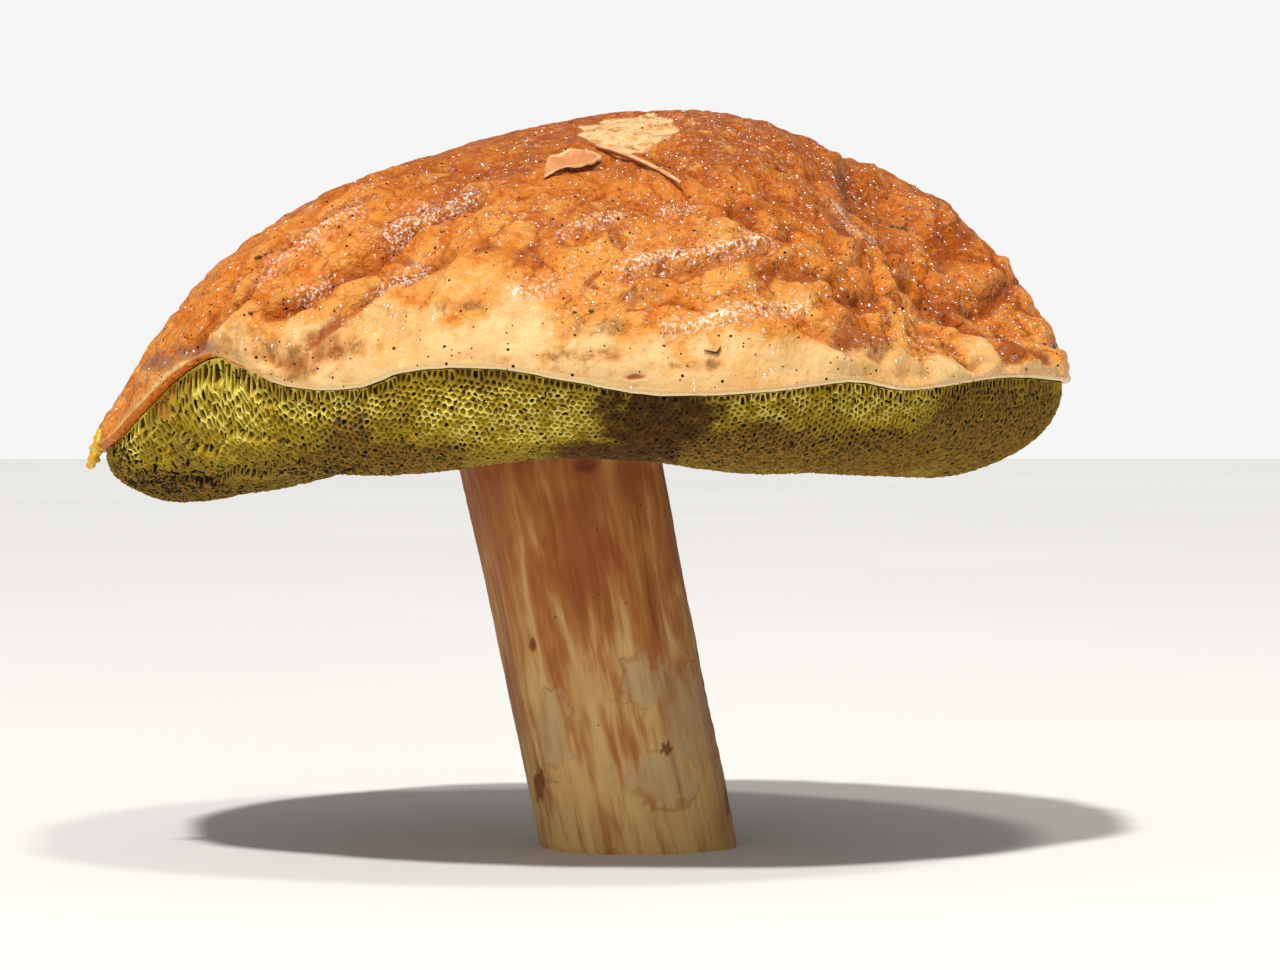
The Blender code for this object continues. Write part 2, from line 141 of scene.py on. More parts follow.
def degrees_apart(azimuth: Array, other: float) -> Array:
    """How far azimuth is past other, from -180 to 180."""
    return np.mod(azimuth - other + 180, 360) - 180


def cloud(points: Array, size: float, seed: int) -> Array:
    """Smooth noise from a grid of cubes.

    Each corner of the grid has a seeded slope, and the slopes of the eight corners round a point are mixed by how
    near they are.

    Args:
        points: Rows of x, y, z.
        size: Side of a cube, and so the size of a blob.
        seed: Chooses the slopes.

    Returns:
        About -1 to 1 for each point.
    """
    random = np.random.default_rng(seed)
    shuffled = random.permutation(256)
    slopes = random.normal(size=(256, 3))
    slopes /= np.linalg.norm(slopes, axis=1, keepdims=True)
    scaled = points / size
    cell = np.floor(scaled).astype(int)
    part = scaled - cell
    mix = part**3 * (part * (part * 6 - 15) + 10)
    total = np.zeros(len(points))
    for corner in np.ndindex(2, 2, 2):
        x, y, z = ((cell + corner) & 255).T
        slope = slopes[shuffled[(shuffled[(shuffled[x] + y) & 255] + z) & 255]]
        weight = np.prod(np.where(corner, mix, 1 - mix), axis=1)
        total += weight * np.sum(slope * (part - corner), axis=1)
    return total * 1.6


def drift(points: Array, size: float, seed: int) -> Array:
    """Three noises as a vector for each point, to bend a pattern with."""
    return np.column_stack([cloud(points, size, seed + axis) for axis in range(3)])


def bearing(azimuth: Array) -> Array:
    """Unit vectors in plan, pointing along each azimuth."""
    turn = np.radians(azimuth)
    return np.stack([np.cos(turn), np.sin(turn)], axis=-1)


@dataclass(frozen=True)
class Spot:
    """An oval region of a surface: its middle and half sizes, in millimetres."""

    middle: tuple[float, float, float]
    reach: tuple[float, float, float]

    def mark(self, points: Array, ragged: Array, soft: float) -> Array:
        """1 inside the oval and 0 outside: the distance in half sizes, plus ragged, through a smooth step."""
        distance = np.linalg.norm((points / MM - np.array(self.middle)) / np.array(self.reach), axis=1)
        return 1 - ease(1 - soft, 1 + soft, distance + ragged)

    def bell(self, points: Array) -> Array:
        """1 in the middle, falling off smoothly as exp(-d**2) of the distance in half sizes."""
        return np.exp(-np.sum(((points / MM - np.array(self.middle)) / np.array(self.reach)) ** 2, axis=1))


def any_spot(points: Array, spots: tuple[Spot, ...], ragged: float = 0.25, soft: float = 0.35) -> Array:
    """The strongest mark of several spots at each point, their edges made ragged by noise in two sizes."""
    noise = ragged * (cloud(points, 3.5 * MM, Draw.SPOT_EDGE) + cloud(points, 1.3 * MM, Draw.SPOT_FRAY))
    return np.max([spot.mark(points, noise, soft) for spot in spots], axis=0)


@dataclass(frozen=True)
class Line:
    """A line on the front of the cap, seen square from there: x and z in millimetres, and its half width."""

    places: tuple[tuple[float, float], ...]
    half_width: float
    strength: float = 1.0

    def distance(self, points: Array, stray: Array) -> Array:
        """Distance from the line in half widths: the least distance from its straight parts, at the front alone.

        Args:
            points: Rows of x, y, z.
            stray: How far each point is moved first, in millimetres, so that the line wanders.

        Returns:
            The distance, which grows quickly behind the front.
        """
        seen = points[:, [0, 2]] / MM + stray
        least = np.full(len(points), 99.0)
        for start, end in zip(self.places, self.places[1:]):
            run = np.subtract(end, start)
            t = np.clip((seen - start) @ run / (run @ run), 0, 1)
            least = np.minimum(least, np.linalg.norm(seen - start - t[:, None] * run, axis=1))
        behind = np.maximum(points[:, 1] / MM - 6, 0) / 4
        return least / self.half_width + behind


# Meshes


def new_piece(
    name: str, points: Array, faces: list[Array], marks: dict[str, Array], crease: float = 180
) -> bpy.types.Object:
    """Makes a smooth-shaded mesh object from arrays.

    Args:
        name: The object's name.
        points: Rows of x, y, z.
        faces: One array of point numbers for each kind of face, with a row for each face.
        marks: Values at the points, stored as attributes of those names. A row of three makes a vector.
        crease: Edges sharper than this many degrees stay sharp.

    Returns:
        The object, in the scene.
    """
    mesh = bpy.data.meshes.new(name)
    corners = np.concatenate([group.ravel() for group in faces]).astype(np.int32)
    counts = np.concatenate([np.full(len(group), group.shape[1]) for group in faces])
    mesh.vertices.add(len(points))
    mesh.vertices.foreach_set("co", points.astype(np.float32).ravel())
    mesh.loops.add(len(corners))
    mesh.loops.foreach_set("vertex_index", corners)
    mesh.polygons.add(len(counts))
    mesh.polygons.foreach_set("loop_start", (np.cumsum(counts) - counts).astype(np.int32))
    mesh.update(calc_edges=True)
    mesh.validate()
    mesh.shade_smooth()
    if crease < 180:
        mesh.set_sharp_from_angle(angle=math.radians(crease))
    for key, values in marks.items():
        kind, slot = ("FLOAT_VECTOR", "vector") if values.ndim == 2 else ("FLOAT", "value")
        mesh.attributes.new(key, kind, "POINT").data.foreach_set(slot, values.astype(np.float32).ravel())
    thing = bpy.data.objects.new(name, mesh)
    bpy.context.scene.collection.objects.link(thing)
    return thing


def band_faces(first: Array, second: Array) -> Array:
    """Quads between two closed rings of point numbers."""
    return np.column_stack([first, np.roll(first, -1), np.roll(second, -1), second])


def web(rings: int) -> tuple[Array, Array, Array]:
    """A disc of nearly even triangles, where ring k has 6k points.

    Args:
        rings: How many rings lie round the middle point.

    Returns:
        Each point's azimuth, its way from 0 in the middle to 1 at the edge, and the triangles' point numbers.
    """
    sizes = 6 * np.arange(1, rings + 1)
    starts = np.concatenate([[1], 1 + np.cumsum(sizes)])[:-1]
    azimuth = np.concatenate([[0.0], *[np.arange(size) * 360 / size for size in sizes]])
    way = np.concatenate([[0.0], np.repeat(np.arange(1, rings + 1) / rings, sizes)])
    triangles = []
    for k, start in enumerate(starts, 1):
        inner_size = max(6 * (k - 1), 1)
        inner_start = starts[k - 2] if k > 1 else 0
        side, j = (part.ravel() for part in np.meshgrid(np.arange(6), np.arange(k), indexing="ij"))
        here = start + side * k + j
        after = start + (side * k + j + 1) % (6 * k)
        inner = inner_start + (side * (k - 1) + j) % inner_size
        triangles.append(np.column_stack([here, after, inner]))
        inside = j < k - 1
        inner_after = inner_start + (side * (k - 1) + j + 1) % inner_size
        triangles.append(np.column_stack([after, inner_after, inner])[inside])
    return azimuth, way, np.concatenate(triangles)


def stack_faces(rows: int, sides: int) -> list[Array]:
    """Faces of a stack of closed rings with a fan at each end.

    Args:
        rows: How many rings there are. Their points come first, ring by ring.
        sides: Points in a ring. The middle of the first ring and the middle of the last follow the rings.

    Returns:
        The quads between neighbouring rings, and the triangles of both fans.
    """
    number = np.arange(rows * sides).reshape(rows, sides)
    quads = np.concatenate([band_faces(lower, upper) for lower, upper in zip(number, number[1:])])
    first, last = number[0], number[-1]
    fans = [
        np.column_stack([np.roll(first, -1), first, np.full(sides, rows * sides)]),
        np.column_stack([last, np.roll(last, -1), np.full(sides, rows * sides + 1)]),
    ]
    return [quads, np.concatenate(fans)]


def rod(spine: Array, radii: Array, sides: int) -> tuple[Array, list[Array]]:
    """A closed tapered rod: a ring of points round each point of a spine, and a fan at each end.

    Args:
        spine: Points along the middle of the rod, in order.
        radii: The rod's radius at each of them.
        sides: Points in a ring.

    Returns:
        The rod's points and its faces.
    """
    along = np.gradient(spine, axis=0)
    along /= np.linalg.norm(along, axis=1, keepdims=True)
    across = np.cross(along, [0.0, 0.0, 1.0])
    across /= np.linalg.norm(across, axis=1, keepdims=True)
    up = np.cross(across, along)
    turn = np.arange(sides) * 2 * math.pi / sides
    ring = across[:, None] * np.cos(turn)[None, :, None] + up[:, None] * np.sin(turn)[None, :, None]
    points = (spine[:, None] + ring * radii[:, None, None]).reshape(-1, 3)
    return np.vstack([points, spine[0], spine[-1]]), stack_faces(len(spine), sides)


def facing_out(thing: bpy.types.Object) -> bpy.types.Object:
    """Turns the faces of a closed mesh outwards if its signed volume shows that they point in.

    The signed volume is the sum over triangles of a . (b x c) / 6, and only its sign is needed.

    Args:
        thing: A mesh object.

    Returns:
        The same object.
    """
    mesh = thing.data
    mesh.calc_loop_triangles()
    corners = np.empty(len(mesh.loop_triangles) * 3, np.int32)
    mesh.loop_triangles.foreach_get("vertices", corners)
    points = np.empty(len(mesh.vertices) * 3, np.float32)
    mesh.vertices.foreach_get("co", points)
    a, b, c = points.reshape(-1, 3)[corners.reshape(-1, 3)].transpose(1, 0, 2)
    if np.sum(a * np.cross(b, c)) < 0:
        mesh.flip_normals()
    return thing


# Materials


class Recipe:
    """A material's nodes, added one at a time round its Principled shader."""

    def __init__(self, name: str, **sockets: object) -> None:
        """Starts a material.

        Args:
            name: The material's name.
            sockets: Values for the shader's own sockets, with an underscore for each space in their names.
        """
        self.material = bpy.data.materials.new(name)
        self.material.use_nodes = True
        self.tree = self.material.node_tree
        self.shader = self.tree.nodes["Principled BSDF"]
        for key, value in sockets.items():
            self.feed(self.shader.inputs[key.replace("_", " ")], value)
        self.place = self.tree.nodes.new("ShaderNodeTexCoord").outputs["Object"]

    def feed(self, socket: Socket, value: object) -> None:
        """Links a socket to another, or sets its value.

        Args:
            socket: The input.
            value: Another node's output, a number, a vector or a colour.
        """
        if isinstance(value, Socket):
            self.tree.links.new(value, socket)
        elif socket.type == "RGBA" and len(value) == 3:
            socket.default_value = (*value, 1)
        else:
            socket.default_value = value

    def add(self, kind: str, inputs: dict[object, object], output: object = 0, **settings: object) -> Socket:
        """Adds a node.

        Args:
            kind: The node's type, without the word ShaderNode.
            inputs: What its inputs get, by name or number.
            output: Name or number of the output to give back.
            settings: The node's own settings.

        Returns:
            That output.
        """
        node = self.tree.nodes.new("ShaderNode" + kind)
        for key, value in settings.items():
            setattr(node, key, value)
        for key, value in inputs.items():
            self.feed(node.inputs[key], value)
        return node.outputs[output]

    def mark(self, name: str) -> Socket:
        """The value of a point attribute."""
        return self.add("Attribute", {}, "Fac", attribute_name=name)

    def arrow(self, name: str) -> Socket:
        """The value of a point attribute that is a vector."""
        return self.add("Attribute", {}, "Vector", attribute_name=name)

    def stretch(self, vector: object, scale: tuple[float, float, float]) -> Socket:
        """A vector scaled along each axis."""
        return self.add("Mapping", {"Vector": vector, "Scale": scale})

    def noise(
        self, size: float, detail: float = 3, rough: float = 0.55, bend: float = 0, at: Socket | None = None
    ) -> Socket:
        """Cloudy noise from 0 to 1.

        Args:
            size: Size of its blobs in metres.
            detail: How many finer layers it has.
            rough: How strong each layer is against the one before.
            bend: How far it is bent by itself.
            at: Its coordinates, which are the object's own if none are given.

        Returns:
            The noise.
        """
        shape = {"Scale": 1 / size, "Detail": detail, "Roughness": rough, "Distortion": bend}
        return self.add("TexNoise", {"Vector": at or self.place, **shape}, "Fac")

    def cells(self, size: float, output: str = "Distance") -> Socket:
        """Cellular noise with cells of that size in metres."""
        return self.add("TexVoronoi", {"Vector": self.place, "Scale": 1 / size}, output)

    def draw(self, size: float) -> Socket:
        """A random number from 0 to 1 for each cell of that size."""
        return self.add("SeparateColor", {"Color": self.cells(size, "Color")})

    def ease(self, value: object, low: float, high: float, to_low: float = 0, to_high: float = 1) -> Socket:
        """Carries low..high smoothly to to_low..to_high, and holds the ends."""
        values = {"Value": value, "From Min": low, "From Max": high, "To Min": to_low, "To Max": to_high}
        return self.add("MapRange", values, interpolation_type="SMOOTHSTEP")

    def math(self, operation: str, a: object, b: object = 0.0) -> Socket:
        """One operation on two numbers."""
        return self.add("Math", {0: a, 1: b}, operation=operation)

    def sway(self, value: object, by: object, low: float, high: float, least: float, most: float) -> Socket:
        """A number with another added, whose low..high is first carried to least..most."""
        return self.math("ADD", value, self.ease(by, low, high, least, most))

    def mix(self, factor: object, a: object, b: object) -> Socket:
        """Colour a with b laid over it by the factor."""
        return self.add("Mix", {0: factor, 6: a, 7: b}, 2, data_type="RGBA")

    def lay(self, under: object, over: object, where: object, low: float, high: float, most: float = 1) -> Socket:
        """Colour over laid on colour under: not at all where a number is low, and most where it is high."""
        return self.mix(self.ease(where, low, high, 0, most), under, over)

    def bump(self, height: object, depth: float, strength: object = 1.0, under: Socket | None = None) -> Socket:
        """A normal roughened by a height from 0 to 1.

        Args:
            height: The height.
            depth: What a height of 1 stands for, in metres.
            strength: How much of it shows.
            under: The normal that is roughened, if it isn't the surface's own.

        Returns:
            The normal.
        """
        values = {"Height": height, "Distance": depth, "Strength": strength}
        if under is not None:
            values["Normal"] = under
        return self.add("Bump", values)

    def finish(self, colour: object, roughness: object, normal: object) -> bpy.types.Material:
        """Feeds the shader its colour, roughness and normal, and gives the material."""
        self.feed(self.shader.inputs["Base Color"], colour)
        self.feed(self.shader.inputs["Roughness"], roughness)
        self.feed(self.shader.inputs["Normal"], normal)
        return self.material


class SkinNoise(NamedTuple):
    """The noises that the cap's colours follow: three sizes, and one drawn out down the cap."""

    broad: Socket
    medium: Socket
    fine: Socket
    streak: Socket


@dataclass(frozen=True)
class TackySkin:
    """Cap skin: brown on top, orange lower down and cream at the margin, with rust and painted shade in its hollows,
    a wet shine and a painted highlight on the ridges.
    """

    brown: Colour = (0.37, 0.080, 0.010)
    orange: Colour = (0.62, 0.165, 0.014)
    apricot: Colour = (0.76, 0.330, 0.070)
    cream: Colour = (0.76, 0.50, 0.22)
    tan: Colour = (0.50, 0.20, 0.045)
    # The deepest tan stains, partly painted shade in the margin's creases
    olive: Colour = (0.23, 0.105, 0.026)
    edge: Colour = (0.93, 0.78, 0.47)
    # Rust spots, and painted shade in the hollows
    rust: Colour = (0.31, 0.058, 0.005)
    flesh: Colour = (0.86, 0.60, 0.31)
    dried: Colour = (0.66, 0.32, 0.11)
    dark_patch: Colour = (0.26, 0.105, 0.065)
    speck: Colour = (0.012, 0.008, 0.006)
    # Colour of the painted highlight on the ridges
    sheen: Colour = (0.93, 0.84, 0.70)
    # Size of the cells that hold the beads of slime
    bead: float = 1.15

    def make(self) -> bpy.types.Material:
        """Lays the colours, the dirt and the shine over each other.

        Returns:
            The material.
        """
        r = Recipe(
            "tacky_skin",
            Subsurface_Weight=0.10,
            Subsurface_Radius=(1.0, 0.35, 0.15),
            Subsurface_Scale=0.001,
            Coat_Roughness=0.25,
            Coat_IOR=2.4,
            Specular_IOR_Level=0.12,
        )
        noise = SkinNoise(
            r.noise(10 * MM, 3),
            r.noise(3.0 * MM, 4, 0.6, 0.6),
            r.noise(0.9 * MM, 3, 0.6),
            r.noise(2.2 * MM, 4, 0.6, 0.5, r.stretch(r.arrow("flow"), (1, 1, 0.16))),
        )
        colour = self.top(r, noise)
        colour = self.margin(r, noise, colour)
        colour = self.stains(r, noise, colour)
        colour = r.mix(self.dirt(r), colour, self.speck)
        # Painted highlight: a pale sheen colour laid on the ridges in broken flecks
        sheen = r.math("MULTIPLY", r.mark("sheen"), r.ease(r.noise(0.55 * MM, 2), 0.50, 0.58))
        colour = r.mix(r.math("MULTIPLY", sheen, 0.72), colour, self.sheen)
        self.beads(r, noise.broad, sheen)
        rough = r.math("SUBTRACT", r.noise(1.6 * MM, 2), r.math("MULTIPLY", sheen, 0.5))
        smooth = r.ease(r.mark("cream"), 0.3, 1.0, 1.0, 0.35)
        normal = r.bump(noise.medium, 0.6 * MM, 0.6)
        normal = r.bump(r.noise(1.25 * MM, 3, 0.55, 0.7), 0.9 * MM, smooth, normal)
        return r.finish(colour, r.ease(rough, 0.3, 0.7, 0.26, 0.48), normal)

    def top(self, r: Recipe, noise: SkinNoise) -> Socket:
        """Brown high up and orange below, with apricot on the lumps and in flecks, and rust between them.

        Args:
            r: The recipe to add to.
            noise: The skin's noises.

        Returns:
            The colour.
        """
        height = r.sway(r.mark("rise"), noise.broad, 0.3, 0.7, -0.22, 0.22)
        colour = r.lay(self.orange, self.brown, height, 0.35, 0.95)
        pale = r.math("MULTIPLY", r.mark("lump"), r.ease(noise.medium, 0.35, 0.62))
        pale = r.math("MULTIPLY", pale, r.ease(height, 0.85, 0.30, 0.15, 0.9))
        colour = r.mix(r.math("MAXIMUM", pale, r.mark("pale")), colour, self.apricot)
        colour = r.lay(colour, self.apricot, noise.fine, 0.52, 0.72, 0.50)
        colour = r.lay(colour, self.rust, noise.fine, 0.48, 0.30, 0.60)
        colour = r.lay(colour, self.apricot, noise.streak, 0.52, 0.75, 0.45)
        return r.lay(colour, self.brown, noise.streak, 0.46, 0.28, 0.35)

    def margin(self, r: Recipe, noise: SkinNoise, colour: Socket) -> Socket:
        """Apricot and then cream towards the lip, with tan stains on the cream that deepen to olive, the olive partly
        painted shade in its creases.

        Args:
            r: The recipe to add to.
            noise: The skin's noises.
            colour: The colour so far.

        Returns:
            The colour with the margin laid over it.
        """
        warm = r.sway(r.mark("warm"), noise.medium, 0.3, 0.7, -0.40, 0.40)
        warm = r.sway(warm, noise.broad, 0.35, 0.65, -0.30, 0.30)
        colour = r.lay(colour, self.apricot, warm, 0.2, 1.1, 0.85)
        margin = r.sway(r.mark("cream"), noise.medium, 0.3, 0.7, -0.30, 0.22)
        margin = r.sway(margin, noise.broad, 0.3, 0.7, -0.15, 0.15)
        colour = r.lay(colour, self.apricot, margin, 0.08, 0.45)
        cream = r.lay(self.cream, self.apricot, noise.broad, 0.42, 0.66, 0.5)
        cream = r.lay(cream, self.tan, noise.streak, 0.52, 0.75, 0.55)
        cream = r.lay(cream, self.edge, noise.streak, 0.46, 0.28, 0.15)
        colour = r.lay(colour, cream, margin, 0.35, 0.85)
        # Tan stains deepening to olive, the olive partly painted shade in the margin's creases
        tan = r.sway(r.mark("tan"), noise.streak, 0.3, 0.7, -0.45, 0.30)
        tan = r.sway(tan, noise.fine, 0.3, 0.7, -0.2, 0.2)
        return r.lay(colour, r.lay(self.tan, self.olive, tan, 0.65, 1.25), tan, 0.1, 1.1, 0.85)

    def stains(self, r: Recipe, noise: SkinNoise, colour: Socket) -> Socket:
        """Rust colour and painted shade in the hollows, bruises by the torn notch, bare flesh in the bite, and the
        lip's pale edge.

        Args:
            r: The recipe to add to.
            noise: The skin's noises.
            colour: The colour so far.

        Returns:
            The colour with these laid over it.
        """
        # Painted shade: rust colour laid in the creases, folds, furrows and low places between lumps, as well as on
        # the rust spots
        hollow = r.sway(r.mark("hollow"), noise.medium, 0.3, 0.75, -0.25, 0.25)
        colour = r.lay(colour, self.rust, hollow, 0.15, 0.85, 0.90)
        colour = r.mix(r.mark("wet"), colour, self.dark_patch)
        bare = r.sway(r.mark("bare"), noise.medium, 0.38, 0.68, 0.05, -0.55)
        flesh = r.lay(self.flesh, self.dried, noise.medium, 0.44, 0.60)
        flesh = r.lay(flesh, self.apricot, noise.fine, 0.40, 0.65, 0.4)
        colour = r.lay(colour, flesh, bare, 0.30, 0.75)
        return r.mix(r.math("MULTIPLY", r.mark("edge"), 0.85), colour, self.edge)

    def dirt(self, r: Recipe) -> Socket:
        """Specks in three sizes, more of them where the skin is grimy.

        Args:
            r: The recipe to add to.

        Returns:
            A socket that is 1 in a speck.
        """
        grime = r.mark("grime")
        dots = self.dots(r, 1.9 * MM, 0.15, r.ease(grime, 0, 1, 0.55, 0.90))
        dots = r.math("MAXIMUM", dots, self.dots(r, 1.0 * MM, 0.18, r.ease(grime, 0, 1, 0.32, 0.80)))
        return r.math("MAXIMUM", dots, self.dots(r, 0.7 * MM, 0.26, r.ease(grime, 0.3, 0.9, 0, 0.55)))

    def dots(self, r: Recipe, size: float, radius: float, share: Socket) -> Socket:
        """A dot in the middle of a share of the cells of a cellular pattern.

        Args:
            r: The recipe to add to.
            size: Size of a cell.
            radius: Radius of a dot in cells.
            share: The share of cells that have one.

        Returns:
            A socket that is 1 in a dot.
        """
        inside = r.ease(r.cells(size), radius, radius * 0.7)
        return r.math("MULTIPLY", inside, r.math("LESS_THAN", r.draw(size), share))

    def beads(self, r: Recipe, broad: Socket, sheen: Socket) -> None:
        """Feeds the coat: a bead of slime in a share of the cells, and a thin film on the ridges.

        Args:
            r: The recipe to add to.
            broad: Noise that makes the beads denser in places.
            sheen: Where the film is.
        """
        from_bead = r.cells(self.bead * MM)
        r.feed(r.shader.inputs["Coat Normal"], r.bump(r.ease(from_bead, 0.48, 0.02), 0.38 * MM))
        share = r.sway(r.mark("beads"), broad, 0.35, 0.65, -0.25, 0.25)
        share = r.math("MULTIPLY", share, r.ease(r.mark("bare"), 0.3, 0.6, 1, 0))
        picked = r.math("LESS_THAN", r.draw(self.bead * MM), share)
        wet = r.math("MULTIPLY", picked, r.ease(from_bead, 0.44, 0.36))
        r.feed(r.shader.inputs["Coat Weight"], r.math("MAXIMUM", wet, r.math("MULTIPLY", sheen, 0.25)))


@dataclass(frozen=True)
class SpongyTubes:
    """Tube layer: bright rims round pores darkened by painted shade, yellow green with painted light on the side,
    browner below, with dark brown patches.
    """

    rim: Colour = (0.60, 0.47, 0.055)
    # Rims where light is painted on
    bright: Colour = (0.85, 0.77, 0.19)
    # Wall and bottom of a pore: darker colours, as painted shade
    wall: Colour = (0.40, 0.265, 0.014)
    deep: Colour = (0.060, 0.032, 0.002)
    # Darker copies of the rim and pore colours, painted shade where no light is painted
    painted_shade_rim: Colour = (0.34, 0.235, 0.030)
    painted_shade_deep: Colour = (0.045, 0.026, 0.004)
    brown: Colour = (0.27, 0.135, 0.024)
    dark_patch: Colour = (0.062, 0.023, 0.010)
    crust: Colour = (0.060, 0.036, 0.012)
    amber: Colour = (0.42, 0.18, 0.030)
    dark_pore: Colour = (0.010, 0.008, 0.005)
    soil: Colour = (0.014, 0.010, 0.004)

    def make(self) -> bpy.types.Material:
        """Lays stains and dirt over the sound colour.

        Returns:
            The material.
        """
        r = Recipe(
            "spongy_tubes",
            Subsurface_Weight=0.10,
            Subsurface_Radius=(1.0, 0.8, 0.2),
            Subsurface_Scale=0.0008,
            Specular_IOR_Level=0.08,
        )
        medium = r.noise(1.8 * MM, 3)
        pit = r.mark("pit")
        colour = self.sound(r, pit, medium)
        brown = r.sway(r.mark("brown"), medium, 0.3, 0.7, -0.3, 0.3)
        # The crust colour grows down each pore: painted shade
        mottle = r.sway(r.noise(0.8 * MM, 2, 0.7), pit, 0, 1, 0, 0.4)
        colour = r.lay(colour, r.lay(self.brown, self.crust, mottle, 0.44, 0.66), brown, 0.25, 0.9, 0.85)
        colour = r.lay(colour, self.amber, r.mark("amber"), 0.3, 0.8, 0.8)
        dark_patch = r.lay(self.dark_patch, self.brown, medium, 0.45, 0.70, 0.4)
        colour = r.lay(colour, dark_patch, r.mark("dark_patch"), 0.2, 0.9, 0.94)
        colour = self.dirt(r, pit, colour)
        normal = r.bump(r.noise(0.45 * MM, 2), 0.12 * MM, 0.6)
        return r.finish(colour, r.ease(medium, 0.3, 0.7, 0.5, 0.8), normal)

    def sound(self, r: Recipe, pit: Socket, medium: Socket) -> Socket:
        """Rim, wall and depth by how far into its pore a point is, darkening down the pore as painted shade; where no
        light is painted, a darker copy, also painted shade.

        Args:
            r: The recipe to add to.
            pit: 0 on a rim and 1 at the bottom of a pore.
            medium: Noise.

        Returns:
            The colour.
        """
        painted_light = r.mark("painted_light")
        rim = r.lay(self.wall, self.rim, medium, 0.40, 0.66, 0.8)
        # Painted highlight: brighter rims where light is painted on
        rim = r.mix(r.math("MULTIPLY", r.ease(painted_light, 0.4, 1.0), r.ease(medium, 0.35, 0.6)), rim, self.bright)
        # Painted shade: darker down each pore, to nearly black at its bottom
        colour = r.lay(rim, self.wall, pit, 0.0, 0.30)
        colour = r.lay(colour, self.deep, pit, 0.30, 0.95)
        # The lit colours over their darker copy, painted shade, by the painted light mark
        painted_shade = r.lay(self.painted_shade_rim, self.painted_shade_deep, pit, 0.0, 0.7)
        return r.lay(painted_shade, colour, r.sway(painted_light, r.noise(7 * MM, 3), 0.3, 0.7, -0.25, 0.25), 0.15, 0.75)

    def dirt(self, r: Recipe, pit: Socket, colour: Socket) -> Socket:
        """Darkens some pores to black, browns others a little, and lays soil on the crusted places.

        Args:
            r: The recipe to add to.
            pit: 0 on a rim and 1 at the bottom of a pore.
            colour: The colour so far.

        Returns:
            The colour with the dirt on it.
        """
        tone, crust = r.mark("tone"), r.mark("crust")
        few = r.ease(r.mark("brown"), 0.2, 0.9, 0.95, 0.76)
        few = r.math("SUBTRACT", few, r.math("MULTIPLY", crust, 0.42))
        dark = r.math("MULTIPLY", r.math("GREATER_THAN", tone, few), r.ease(pit, 0.02, 0.4))
        colour = r.mix(dark, colour, self.dark_pore)
        colour = r.mix(r.ease(tone, 0.0, 0.5, 0.28, 0), colour, self.brown)
        soiled = r.math("ADD", r.math("MULTIPLY", crust, 0.11), r.noise(0.85 * MM, 2, 0.6))
        return r.lay(colour, self.soil, soiled, 0.60, 0.68)


